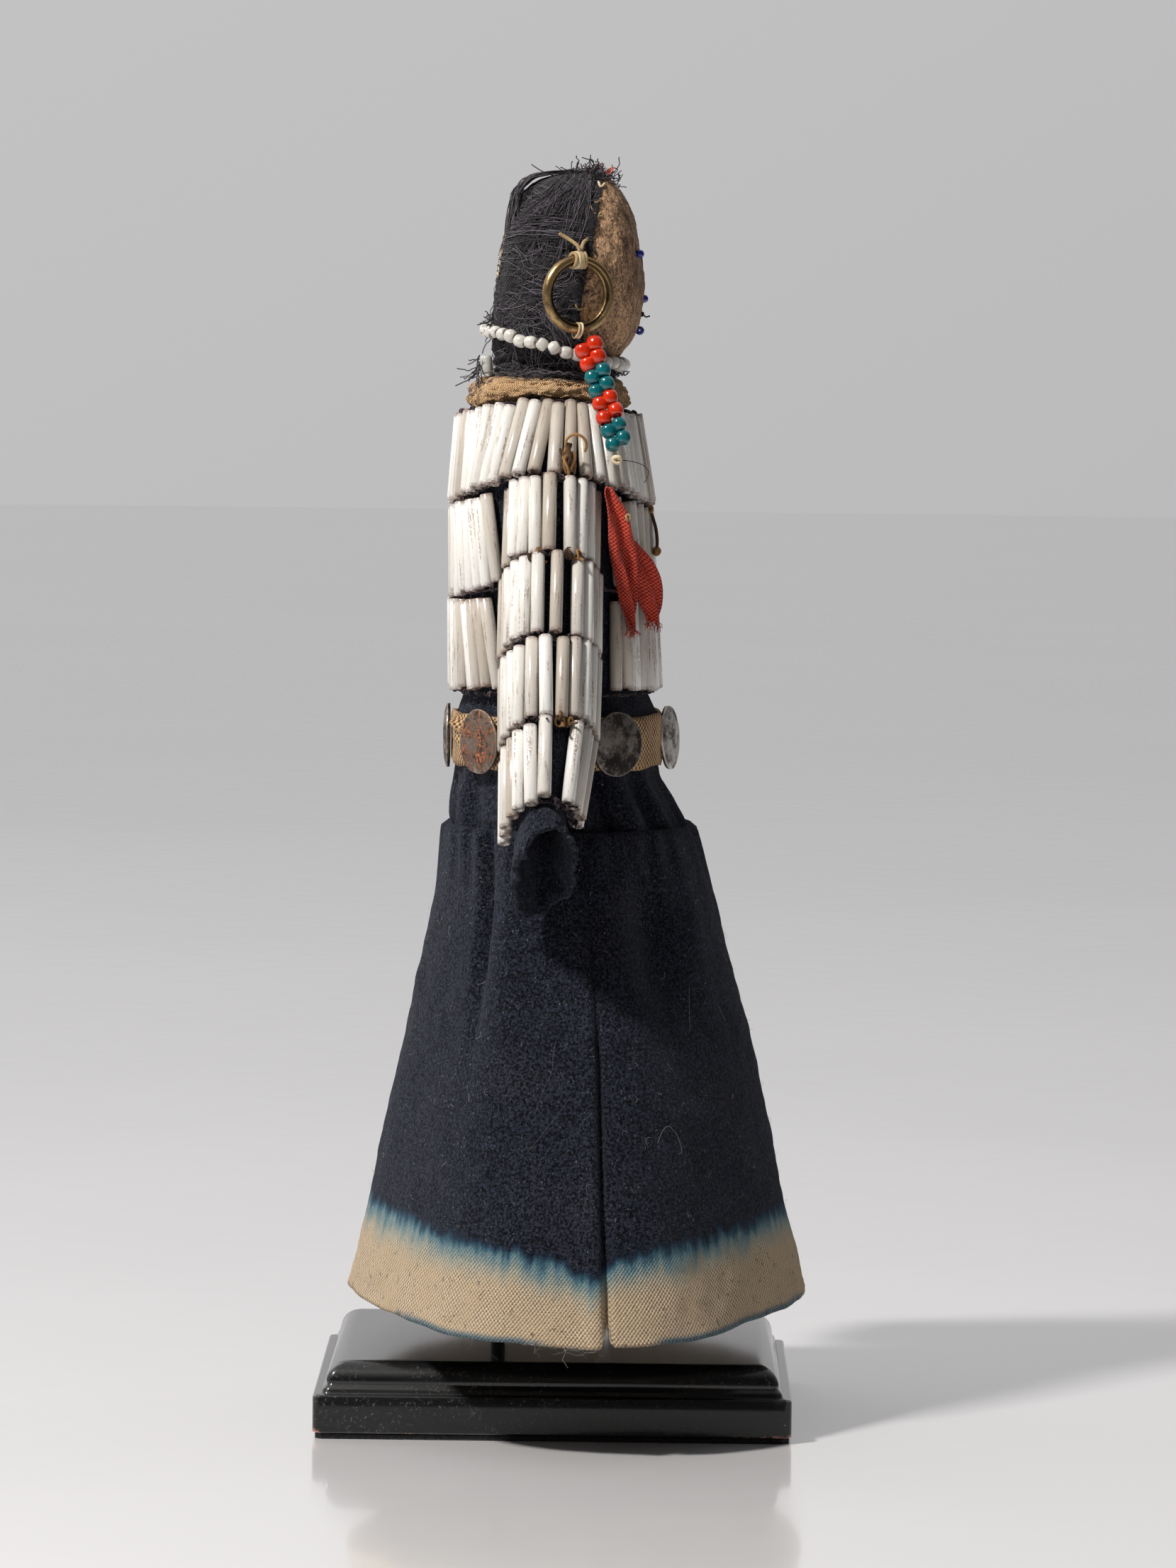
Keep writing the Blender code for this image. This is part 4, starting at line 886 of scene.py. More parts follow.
def tubePattern():
    r, b, half = tube["radius"], tube["bore"], tube["length"] / 2
    profile = ((r * 0.88, -half), (r, -half + 0.00022), (r * 1.005, 0.0), (r, half - 0.00022), (r * 0.88, half),
               (b * 1.2, half - 0.00005), (b, half - 0.0004), (b, -half + 0.0004), (b * 1.2, -half + 0.00005))
    return turnedPattern("tube_pattern", profile, 14)


def evenSpots(line, first, last, pitch, starts=None):
    # angles at even steps along the line; starts are the distances of given tubes from angle 0
    angles = np.linspace(first, last, 700)
    steps = np.linalg.norm(np.diff(line(angles), axis=0), axis=1)
    far = np.concatenate([[0.0], np.cumsum(steps)])
    if starts is None:
        count = max(2, int(round(far[-1] / pitch)))
        return np.interp((np.arange(count) + 0.5) * far[-1] / count, far, angles)
    zero = np.interp(0.0, angles, far)
    spots = list(starts)
    while spots[0] - pitch + zero > pitch * 0.4:
        spots.insert(0, spots[0] - pitch)
    while spots[-1] + pitch + zero < far[-1] - pitch * 0.4:
        spots.append(spots[-1] + pitch)
    return np.interp(np.array(spots) + zero, far, angles)


def layTubes(name, low, high, spots, dice, length, lean=None, sway=0.018):
    # low and high give the lines of the tubes' ends at an angle and a lift
    places = []
    for number, angle in enumerate(spots):
        lift = dice.uniform(-0.00005, 0.0004) + 0.00025 * (number % 2)
        tip = ((lean(angle) if lean else 0.0) + dice.gauss(0.0, sway)) / 2
        bottom = Vector(low(angle + tip, lift + dice.uniform(-0.0001, 0.0002)))
        top = Vector(high(angle - tip, lift))
        axis = (top - bottom).normalized()
        middle = (top + bottom) / 2 + axis * dice.gauss(0.0, 0.00035)
        width = dice.uniform(0.87, 0.985)
        size = (width, width, length / tube["length"] * dice.uniform(0.965, 1.01))
        turn = turnOf(axis, (cos(dice.uniform(0, 6)), sin(dice.uniform(0, 6)), 0.1))
        places.append((middle, turn, size, dice.random()))
    copies(name, tubePattern(), places, milkGlass, name.replace("tubes", "tubes_row"))


# armReach is half the depth of the gap that the rows leave for the arm
yoke = {"radial": 0.0019, "backLean": radians(-12.0), "fan": radians(10.0), "lap": 0.09, "armReach": 0.0128,
        "sway": 0.034}


def bodyLine(level, out):
    return lambda angle, lift=0.0: bodyAt(level, angle, out + lift)


def sleeveLine(side, along, out, slip=0.0):
    # slip lets the rear of a row hang lower
    def line(angle, lift=0.0):
        return sleeveAt(side, angle, along + slip * np.maximum(0.0, np.sin(angle)) ** 1.5, out + lift)

    return line


def buildYoke():
    dice = random.Random(11)
    radial, length = yoke["radial"], tube["length"]

    def leaning(angle):
        # the tubes on the shoulder slope lean backwards at the foot
        return yoke["backLean"] * (near(angle, 160.0, 0.5) - near(angle, 20.0, 0.5))

    def fanned(angle):
        # below them the rows spread towards the arm
        return yoke["fan"] * (near(angle, 148.0, 0.5) - near(angle, 32.0, 0.5))

    spots = evenSpots(bodyLine(0.2155, radial), 0.0, tau, tube["pitch"] * 1.02)
    layTubes("yoke_tubes_1", bodyLine(levels["rowOne"], radial + 0.0003), bodyLine(levels["neckline"], radial), spots,
             dice, length * 0.985, leaning)
    for number, level in (("2", levels["rowTwo"]), ("3", levels["rowThree"])):
        middle = level + length / 2
        offset, depth = (np.interp(middle, bodyLevels, column) for column in (bodyOffset, bodyDepth))
        frontEnd, rearEnd = (asin((sleeve["offset"] + reach - offset) / depth)
                             for reach in (-yoke["armReach"], yoke["armReach"]))
        ends = {"front": (-pi - frontEnd, frontEnd),
                "back": (rearEnd - yoke["lap"], pi - rearEnd + yoke["lap"])}
        for place, (first, last) in ends.items():
            spots = evenSpots(bodyLine(middle, radial), first, last, tube["pitch"])
            layTubes("yoke_tubes_" + number + "_" + place, bodyLine(level, radial), bodyLine(level + length, radial),
                     spots, dice, length, fanned if place == "back" else None, yoke["sway"])


# starts: where the tubes seen in the photo stand, in mm forward of the sleeve's ridge
sleeveRows = {"1": {"starts": (4.3, -0.5), "spread": 84.0, "slip": 0.0},
              "2": {"starts": (6.9, 1.35, -2.9), "spread": 100.0, "slip": 0.0006},
              "3": {"starts": (3.1, -0.7), "spread": 114.0, "slip": 0.0022},
              "4": {"starts": (6.8, -0.6), "spread": 114.0, "slip": 0.0044}}
sleeveTubes = {"length": 0.0199, "pitch": 0.00338, "radial": 0.0022, "gap": 0.0003, "top": 0.0012}


def buildSleeveTubes(label, side):
    dice = random.Random(23 if side < 0 else 29)
    radial = sleeveTubes["radial"]
    for row, facts in sleeveRows.items():
        start = (int(row) - 1) * sleeve["rowPitch"]
        stop = start + sleeve["rowPitch"] - sleeveTubes["gap"]
        spread = radians(facts["spread"])
        starts = [-value * mm for value in facts["starts"]]
        spots = evenSpots(sleeveLine(side, (start + stop) / 2, radial), -spread, spread, sleeveTubes["pitch"], starts)
        layTubes(label + "_sleeve_tubes_" + row, sleeveLine(side, stop, radial, facts["slip"]),
                 sleeveLine(side, max(start, sleeveTubes["top"]), radial, facts["slip"]), spots, dice,
                 sleeveTubes["length"])


buildYoke()
for label, side in sideNames.items():
    buildSleeveTubes(label, side)
print("glass tubes laid")

# ---- belt

belt = {"low": 0.15295, "high": 0.1650, "thickness": 0.0012, "columns": 260, "rows": 12}
discs = {"1": (-90.0, discBright), "2": (-146.5, discSteel), "3": (136.0, discRust), "4": (90.0, discSteel),
         "5": (44.0, discRust), "6": (-33.5, discBright)}
discRadius = 0.0075
# across, up, width and depth of a dent, as shares of the disc's radius and of its relief
dentLimits = ((-0.6, 0.6), (-0.6, 0.6), (0.2, 0.4), (-0.5, 0.3))
# from the middle of the front over the rim to the middle of the back: size, dome and how far it is the front
discProfile = ((0.02, 1.0, 1), (0.2, 0.98, 1), (0.4, 0.92, 1), (0.6, 0.80, 1), (0.75, 0.66, 1), (0.88, 0.42, 1),
               (0.96, 0.22, 1), (0.995, 0.08, 1), (1.0, 0.0, 0.6), (0.99, 0.0, 0), (0.9, 0.36, 0), (0.6, 0.76, 0),
               (0.02, 0.9, 0))


def buildBelt():
    angle = around(belt["columns"])[None, :]
    level = np.linspace(belt["low"], belt["high"], belt["rows"])[:, None]
    tie = near(angle, 113.0, 0.11) * bumpAt(level, 0.1620, 0.0034) * (0.6 + 0.4 * np.sin(1500 * level + 14 * angle))
    out = 0.0004 + 0.00018 * rough(bodyAt(level, angle), 0.007, 2.0) + 0.0026 * tie
    edge = np.zeros_like(level)
    edge[[0, -1]] = 1.0
    outer = bodyAt(level + 0.0004 * np.sin(9 * angle) * edge, angle, out + belt["thickness"] - 0.0003 * edge)
    inner = bodyAt(level, angle, np.maximum(out * 0.5, 0.0003))
    made = gridPiece("webbing_belt", np.concatenate([outer, inner[::-1]], 0), strapCloth, "belt_strap",
                     lay=(0.185, np.append(level, level[::-1])))


def buildDisc(label, degrees, look):
    angle = radians(degrees)
    spot = Vector(bodyAt((levels["beltBottom"] + levels["beltTop"]) / 2, angle, 0.0020))
    facing = Vector((cos(angle) / 0.0336, sin(angle) / 0.0232, 0.0)).normalized()
    if label == "1":
        # the one in front hangs turned a little to the right
        facing = Vector((-0.27, -0.96, 0.06)).normalized()
        spot += facing * 0.0008
    across = Vector((-facing.y, facing.x, 0.0)).normalized()
    up = facing.cross(across)
    dice = random.Random(int(label) * 7)
    dents = [[dice.uniform(*limits) for limits in dentLimits] for k in range(5)]
    rings = []
    for size, dome, front in discProfile:
        ring = []
        for turn in around(56):
            x, y = cos(turn) * size, sin(turn) * size
            dent = sum(depth * exp(-((x - a) ** 2 + (y - b) ** 2) / wide**2) for a, b, wide, depth in dents)
            wobble = 1.0 + 0.012 * sin(3 * turn + int(label)) + 0.006 * sin(8 * turn)
            lift = 0.0010 * dome + 0.00035 * dent * size + 0.0006 * front
            ring.append(spot + (across * x + up * y) * discRadius * wobble + facing * lift)
        rings.append(ring)
    rim = np.array([[max(0.0, 1.0 - abs(1.0 - size) / 0.12) * front] for size, dome, front in discProfile])
    gridPiece("disc_" + label, np.array(rings), look, "belt_disc_" + label, ends="closed", attributes={"rim": rim})


buildBelt()
for label, (degrees, look) in discs.items():
    buildDisc(label, degrees, look)
print("belt built")

# ---- head

headShares = (0.0, 0.046, 0.092, 0.172, 0.298, 0.465, 0.633, 0.80, 0.906, 0.969, 1.0)
headFront = (0.0110, 0.0108, 0.0126, 0.0154, 0.0171, 0.0176, 0.0169, 0.0150, 0.0123, 0.0096, 0.0076)
headRear = (0.0163, 0.0163, 0.0166, 0.0169, 0.0168, 0.0161, 0.0147, 0.0122, 0.0090, 0.0036, -0.0036)
headSide = (0.0150, 0.0148, 0.0156, 0.0172, 0.0186, 0.0190, 0.0182, 0.0156, 0.0118, 0.0070, 0.0024)
seamShares = (0.072, 0.078, 0.10, 0.17, 0.29, 0.49, 0.65, 0.82, 0.98, 1.2)
seamAhead = (0.0300, 0.0125, 0.0080, 0.0040, 0.0028, 0.0042, 0.0056, 0.0068, 0.0080, 0.0080)
head = {"columns": 200, "rows": 150}


def headRing(share):
    # offset, depth and side of the head's ring at this height
    front, rear, side = (smoothLine(share, headShares, values) for values in (headFront, headRear, headSide))
    return (rear - front) / 2, (front + rear) / 2, side


def headAt(share, angle, out=0.0):
    offset, depth, side = headRing(share)
    return oval(angle, side + out, depth + out, offset, levels["neckBottom"] + share * levels["headHeight"])


def headAngle(share, back, limit):
    # angle above the X axis at which the head's ring passes this far behind the middle line
    offset, depth = headRing(share)[:2]
    return np.arcsin(within((back - offset) / depth, -limit, limit))


def seamAngle(share, shift=0.0):
    # angle below the X axis at which the seam meets the ring at this height
    return headAngle(share, -(np.interp(share, seamShares, seamAhead) + shift), 0.9995)


def buildFace():
    share = np.linspace(0.0765, 0.993, head["rows"])[:, None]
    t = np.linspace(0.0, 1.0, head["columns"])[None, :]
    start = seamAngle(share, -0.0002)
    angle = pi - start + (2 * start + pi) * t
    points = headAt(share, angle)
    lumps = 0.00045 * rough(points, 0.009, 12.0, 2) + 0.00022 * rough(points, 0.0022, 3.0, 4)
    edge = within(np.minimum(t, 1 - t) / 0.04)
    brow = 0.0004 * near(angle, -90.0, 0.20) * bumpAt(share, 0.44, 0.13)
    grid = headAt(share, angle, lumps * (0.3 + 0.7 * edge) + brow - 0.0005 * (1 - edge))
    made = gridPiece("hide_mask", grid, hide, "hide_face", ends="closed", lay=(0.06, share[:, 0] * 0.05))


def buildHood():
    share = np.linspace(0.0, 1.0, head["rows"])[:, None]
    t = np.linspace(0.0, 1.0, head["columns"])[None, :]
    start = np.where(share < 0.0745, -pi / 2 + 0.02, seamAngle(share, 0.0004))
    angle = start + (pi - 2 * start) * t
    points = headAt(share, angle)
    lumps = 0.0008 * rough(points, 0.0060, 21.0, 3) + 0.0004 * rough(points, 0.0019, 8.0, 4)
    edge = within(np.minimum(t, 1 - t) / 0.03)
    neck = 0.0006 * np.sin(share * 130.0 + 4 * np.sin(2 * angle)) * bumpAt(share, 0.0, 0.12)
    rolled = 0.0004 * bumpAt(t, 0.0, 0.03) + 0.0004 * bumpAt(t, 1.0, 0.03)
    grid = headAt(share, angle, lumps * (0.4 + 0.6 * edge) + neck + rolled)
    made = gridPiece("hood_cloth", grid, hoodCloth, "cloth_hood", ends="closed", lay=(0.075, share[:, 0] * 0.05))


buildFace()
buildHood()
print("head built")

# ---- beads and ear rings


def beadPattern(radius, half, bore, sides=18):
    # a bead about Z with a hole through it
    tilts = np.radians(np.linspace(-72.0, 72.0, 10))
    profile = [(bore + (radius - bore) * cos(tilt) ** 0.7, half * sin(tilt)) for tilt in tilts]
    return turnedPattern("bead_pattern", profile + [(bore * 0.9, half * 0.7), (bore * 0.9, -half * 0.7)], sides)


def onFace(share, x, out):
    offset, depth, side = (float(value) for value in headRing(share))
    y = offset - depth * sqrt(1.0 - (x / side) ** 2)
    return Vector((x, y - out, levels["neckBottom"] + share * levels["headHeight"]))


def jitter(dice, *spreads):
    return Vector([dice.gauss(0, spread) for spread in spreads] + [0.0] * (3 - len(spreads)))


def traced(steps, spot, width=1.0):
    # a path whose points, and widths where they change, follow from the share t of its length
    shares = [k / (steps - 1) for k in range(steps)]
    return [(spot(t), width(t) if callable(width) else width) for t in shares]


# share of the head's height and place across
faceBeads = {"right_eye_bead": (0.594, -0.0055), "left_eye_bead": (0.594, 0.0055), "nose_bead": (0.375, 0.0)}


def buildFaceBeads():
    plain = (1.0, 1.0, 1.0)
    for name, (share, x) in faceBeads.items():
        place = (onFace(share, x, 0.0005), turnOf((0.25, 0.1, 1.0)), plain, 0.2)
        copies("cobalt_" + name, beadPattern(0.00112, 0.00088, 0.00022), [place], cobaltGlass, name)
    places = [(onFace(0.22, x * mm, 0.0009), turnOf((1.0, 0.0, 0.05)), plain, 0.2) for x in (-0.95, 0.95)]
    copies("cobalt_mouth_beads", beadPattern(0.00108, 0.00085, 0.0002), places, cobaltGlass, "mouth_beads")


necklace = {"bead": 0.0029, "side": 0.01875, "rear": 0.01885, "front": 0.01375, "level": 0.25024, "tilt": 0.004}


def buildNecklace():
    dice = random.Random(5)
    centre, depth = (necklace["rear"] - necklace["front"]) / 2, (necklace["rear"] + necklace["front"]) / 2

    def line(angle):
        return oval(angle, necklace["side"], depth, centre, necklace["level"] + necklace["tilt"] * np.sin(angle))

    places = []
    for angle in evenSpots(line, 0.0, tau, necklace["bead"] * 0.99):
        place = Vector(line(angle))
        along = Vector(line(angle + 0.02) - line(angle - 0.02)) + jitter(dice, 0.1, 0.1, 0.2) * mm
        place.z += dice.gauss(0.0, 0.00022)
        size = dice.uniform(0.93, 1.08)
        places.append((place, turnOf(along), (size, size, size * dice.uniform(0.92, 1.04)), dice.random() * 0.4))
    copies("white_bead_necklace", beadPattern(0.00152, 0.00142, 0.00045), places, whiteGlass, "necklace")


# seam is the angle of the wire's rolled joint
ring = {"radius": 0.0079, "wire": 0.00122, "turn": radians(27.0), "side": 0.0222, "offset": -0.0029,
        "level": 0.2626, "seam": 2.17}
sinewRadius = 0.00042
drop = {"bead": 0.00185, "pitch": 0.0033, "colours": (0, 0, 1, 1, 0, 0, 1, 1), "knot": 0.0013}


def ringFrame(side):
    # the ring's middle, its level direction and the one it faces
    level = Vector((side * sin(ring["turn"]), cos(ring["turn"]), 0.0))
    facing = Vector((side * cos(ring["turn"]), -sin(ring["turn"]), 0.0))
    return Vector((side * ring["side"], ring["offset"], ring["level"])), level, facing


def buildRing(label, side):
    middle, level, facing = ringFrame(side)
    rings = []
    for angle in around(120):
        arm = level * cos(angle) + upward * sin(angle)
        loop = []
        for turn in around(26):
            size = ring["wire"] * (1.0 - 0.32 * bumpAt(turn, ring["seam"], 0.15)) * (1.0 + 0.02 * sin(3 * angle))
            loop.append(middle + arm * (ring["radius"] + size * cos(turn)) + facing * size * sin(turn))
        rings.append(loop)
    # painted shade: the slit of the rolled joint is darkened through "seam"
    seam = bumpAt(around(26), ring["seam"], 0.42)[None, :]
    gridPiece(label + "_brass_ring", np.array(rings), brass, label + "_ear_ring", attributes={"seam": seam})


def buildSinew(label, side):
    # flat sinew wound round the wire and knotted at the top, and the loop that holds the drop
    middle, level, facing = ringFrame(side)
    top = middle + upward * ring["radius"]
    low = middle - upward * (ring["radius"] + 0.0004)

    def wound(place, steps, size, shift):
        def spot(t):
            turn = tau * t
            return place + level * shift(turn) + (upward * cos(turn) + facing * sin(turn)) * size
        return traced(steps, spot)

    wire = ring["wire"] + sinewRadius
    paths = [wound(top, 17, wire + 0.00006 * (k % 2), lambda turn: (k - 2) * 0.00072 + 0.0003 * sin(turn + k))
             for k in range(5)]
    for slant, far in ((-0.0018, 0.0062), (0.0010, 0.0046)):
        def end(t):
            rise = upward * (ring["wire"] + 0.0004 + far * 0.72 * t) - level * slant * 2.6 * t**2
            return top + rise + Vector((-side, 0.0, 0.0)) * 0.0026 * t**0.7 + facing * 0.0008 * sin(5 * t)

        paths.append(traced(9, end, lambda t: 1.0 - 0.4 * t))
    threads(label + "_sinew_lashing", paths, 0.00046, sinew, 6, random.Random(31), label + "_ring_lashing")
    paths = [wound(low, 21, wire, lambda turn: shift - 0.0004 * cos(turn)) for shift in (-0.0004, 0.0004)]
    threads(label + "_sinew_link", paths, 0.0003, sinew, 6, [0.7, 0.4], label + "_drop_link")


def buildDrop(label, side):
    middle = ringFrame(side)[0]
    first = middle - upward * (ring["radius"] + 0.00495) + Vector((side * 0.0009, -0.0014, 0.0))
    slope = Vector((side * 0.0045, -0.0072, -0.0225)).normalized()
    beside = Vector((-0.05 * side, -0.66, 0.44)) * 0.0037
    dice = random.Random(3 if side < 0 else 4)
    places = []
    for shift in (Vector((0.0, 0.0, 0.0)), beside):
        for k, colour in enumerate(drop["colours"]):
            spot = first + shift + slope * k * drop["pitch"] + jitter(dice, 0.1, 0.12, 0.1) * mm
            size = (1.04 - 0.012 * k) * dice.uniform(0.97, 1.03)
            turn = turnOf(slope + jitter(dice, 0.12, 0.12))
            places.append((spot, turn, (size, size, size * 0.97), 0.8 if colour else 0.1))
    copies(label + "_string_beads", beadPattern(drop["bead"], 0.00172, 0.0005, 22), places, stringGlass,
           label + "_bead_drop")
    # end knot: a lump of sinew wound on itself
    lowest = first + slope * (7.5 * drop["pitch"] + drop["knot"] + 0.0006)
    path = traced(70, lambda t: lowest + onBall(34.0 * t, 11.0 * t).xzy * drop["knot"] * 0.72)
    threads(label + "_end_knot", [path], 0.00038, sinew, 6, [0.9], label + "_drop_knot")


def onBall(a, b):
    return Vector((sin(a) * cos(b), sin(a) * sin(b), cos(a)))


def buildNapeBead():
    place = (Vector((-0.0066, 0.0184, 0.2460)), turnOf((0.06, 0.08, 1.0)), (1.0, 1.0, 1.0), 0.4)
    profile = ((0.00125, -0.0021), (0.00142, -0.0016), (0.00142, 0.0015), (0.0012, 0.0021), (0.0006, 0.0020),
               (0.00055, 0.0), (0.0006, -0.0020))
    copies("nape_tube_bead", turnedPattern("nape_pattern", profile, 24), [place],
           beadFinish("nape_glass", (186, 186, 180)), "nape_bead")


buildFaceBeads()
buildNecklace()
for label, side in sideNames.items():
    buildRing(label, side)
    buildSinew(label, side)
    buildDrop(label, side)
buildNapeBead()
print("beads and ear rings built")

# ---- loose threads, stitches and knots


def headSpot(side, share, back, out):
    # a point on one side of the head, this far behind its middle line
    angle = headAngle(share, back, 0.999)
    return Vector(headAt(share, pi - angle if side < 0 else angle, out))


def seamPlace(share):
    # how far behind the middle line the seam lies, in mm
    return -1000.0 * float(np.interp(share, seamShares, seamAhead))


def headPath(dice, side, start, end, lift, steps, waver=0.0006, bow=0.0):
    # a thread over the hood from (share, distance back in mm) to another; lift is (start, middle, end) in mm
    phase = dice.uniform(0, 6)

    def spot(t):
        share = start[0] + (end[0] - start[0]) * t + bow * sin(pi * t) + 0.012 * sin(phase + 5 * t)
        back = (start[1] + (end[1] - start[1]) * t) * mm + waver * sin(phase * 2 + 7 * t)
        out = (lift[0] * (1 - t) ** 2 + 2 * lift[1] * t * (1 - t) + lift[2] * t * t) * mm
        return headSpot(side, min(max(share, 0.0), 0.995), back, out)

    return traced(steps, spot, lambda t: 1.0 - 0.45 * t)


def curl(dice, start, heading, length, steps, bend, width=1.0):
    # a stray thread that wanders from a point
    path = [(Vector(start), width)]
    way = Vector(heading).normalized()
    for k in range(steps):
        way = (way + jitter(dice, bend, bend, bend) * 0.6).normalized()
        path.append((path[-1][0] + way * length / steps, width * (1.0 - 0.5 * (k + 1) / steps)))
    return path


def lump(dice, middle, size, turns):
    # a small knot: one thread wound over itself
    phase = dice.uniform(0, 6)
    count = int(turns * 12)
    return [(Vector(middle) + onBall(k / 12 * tau, k / 12 * 2.1 + phase) * size, 1.0) for k in range(count)]


def buildHoodThreads():
    dice = random.Random(77)
    uniform, gauss = dice.uniform, dice.gauss
    paths = []
    for side in (-1.0, 1.0):
        def lay(start, end, lift, steps, bow=0.0):
            paths.append(headPath(dice, side, start, end, lift, steps, bow=bow))

        for k in range(460):
            share = uniform(0.10, 0.93)
            first = 0.3 + seamPlace(share)
            back = uniform(first, 15.5)
            slant = gauss(0.0, 0.06) - 0.03
            run = uniform(2.5, 9.0) * dice.choice((-1, 1))
            end = (share + slant + 0.012 * run * uniform(-1, 1), min(max(back + run, first), 16.0))
            top = uniform(0.15, 0.9)
            lay((share, back), end, (0.05, top, 0.1 + top * dice.random()), 8)
        # a band drawn across from the back to the seam
        for k in range(34):
            share = 0.715 + gauss(0, 0.030)
            lay((share - 0.03, 14.4), (share + gauss(-0.02, 0.03), -5.5), (0.4, uniform(0.7, 1.5), 0.2), 14, 0.035)
        # threads that fall from the crown towards the nape
        for k in range(80):
            back = uniform(-6.0, 10.0)
            lay((0.97, min(back * 0.4 - 3.5, 1.5)), (uniform(0.45, 0.8), back + 3.0), (0.3, uniform(0.4, 1.3), 0.2), 12)
        # frayed edge over the necklace and down the neck
        for k in range(60):
            back = uniform(-6.0, 14.0)
            lay((uniform(0.18, 0.27), back), (uniform(0.02, 0.12), back + gauss(-2, 2)),
                (0.2, uniform(1.0, 3.2), uniform(0.2, 1.2)), 9)
        for k in range(40):
            back = uniform(-4.0, 14.0)
            lay((uniform(0.0, 0.05), back), (uniform(0.0, 0.09), back + gauss(0, 5)), (0.4, uniform(0.6, 1.8), 0.5), 8)
        # a hank that hangs over the necklace below the ear
        for k in range(44):
            lay((0.30 + gauss(0, 0.02), 3.6 + gauss(0, 0.8)), (0.05 + gauss(0, 0.02), -3.0 + gauss(0, 0.9)),
                (0.3, uniform(2.2, 3.6), 0.8), 12)
        # a loose bundle that lies round the top of the collar
        for k in range(70):
            turn, run = uniform(0.0, 2.6), uniform(0.4, 1.2)
            rise, out = gauss(0.0002, 0.0006), abs(gauss(0.0012, 0.0012))

            def spot(t):
                wave = 0.0004 + out * sin(pi * t) + 0.0004 * sin(33 * t + k)
                return (Vector(headAt(0.0, pi / 2 - side * (turn + run * t), wave))
                        + upward * (rise + 0.0004 * sin(22 * t + k)))

            paths.append(traced(12, spot))
    for k in range(4):
        # the rolled edge of the hood at the collar
        def spot(t):
            angle = tau * t
            return (Vector(headAt(0.0, angle, 0.0002 + 0.0002 * sin(5 * angle + k)))
                    + upward * (-0.00035 + 0.00025 * k + 0.0001 * sin(9 * angle)))

        paths.append(traced(90, spot, 2.6))
    threads("hood_loose_threads", paths, 0.000085, hoodThread, 4, dice)


def buildLocks():
    # the loose lock that arches off the crown, and the tuft with red lint at its top
    dice = random.Random(78)
    uniform, gauss = dice.uniform, dice.gauss
    paths = []
    crown = Vector((-0.0012, -0.0068, 0.2893))
    for k in range(60):
        lean, reach, low = radians(104.0 + gauss(0, 8.0)), uniform(1.2, 3.0), uniform(0.17, 0.30)

        def spot(t):
            arch = sin(pi * t)
            out = (0.3 + reach * arch**1.3 * (1 - 0.3 * t)) * mm
            rise = 0.0009 * arch + 0.0003 * sin(13 * t + 3 * k)
            sway = Vector((0.0006 * sin(9 * t + k), 0.0004 * sin(7 * t + 2 * k), rise))
            return Vector(headAt(0.992 - low * t**1.6, lean, out)) + sway

        paths.append(traced(16, spot, lambda t: 1.0 - 0.3 * t))
    for k in range(260):
        start = crown + Vector((-0.0008, 0.0014, -0.0002)) + jitter(dice, 0.0018, 0.0024, 0.0010)
        heading = (gauss(0, 1), gauss(-0.1, 1), uniform(0.3, 1.4))
        paths.append(curl(dice, start, heading, uniform(0.0028, 0.0062), 9, 0.7))
    for k in range(26):
        start = (gauss(-0.002, 0.004), 0.0172, 0.2560 + gauss(0, 0.0016))
        paths.append(curl(dice, start, (gauss(0, 0.5), 1.0, gauss(-0.6, 0.5)), uniform(0.002, 0.0045), 8, 0.5))
    for k in range(24):
        start = (-0.0075 + gauss(0, 0.0016), 0.0200, 0.2462 + gauss(0, 0.0014))
        paths.append(curl(dice, start, (gauss(0, 0.5), 0.7, -1.0), uniform(0.003, 0.008), 9, 0.45))
    paths.append(curl(dice, (-0.002, 0.0030, 0.2900), (0.0, 1.0, 0.35), 0.0062, 10, 0.10, 0.8))
    threads("hood_locks", paths, 0.00013, hoodThread, 4, dice)
    paths = [curl(dice, crown + Vector((gauss(0, 0.001), gauss(0, 0.0012), 0.0010)), (gauss(0, 1), gauss(-0.5, 1), 0.5),
                  uniform(0.0020, 0.0042), 7, 0.7) for k in range(30)]
    threads("red_lint_on_crown", paths, 0.00018, redThread, 4, dice)


# share of the head's height, length in mm and slope
paleStitches = ((0.85, 2.0, 0.01), (0.79, 3.2, 0.05), (0.765, 3.0, -0.03), (0.33, 2.0, 0.03), (0.175, 1.8, 0.0),
                (0.55, 2.2, 0.02), (0.93, 1.6, 0.01))
darkStitches = (0.72, 0.60, 0.47, 0.40, 0.25)


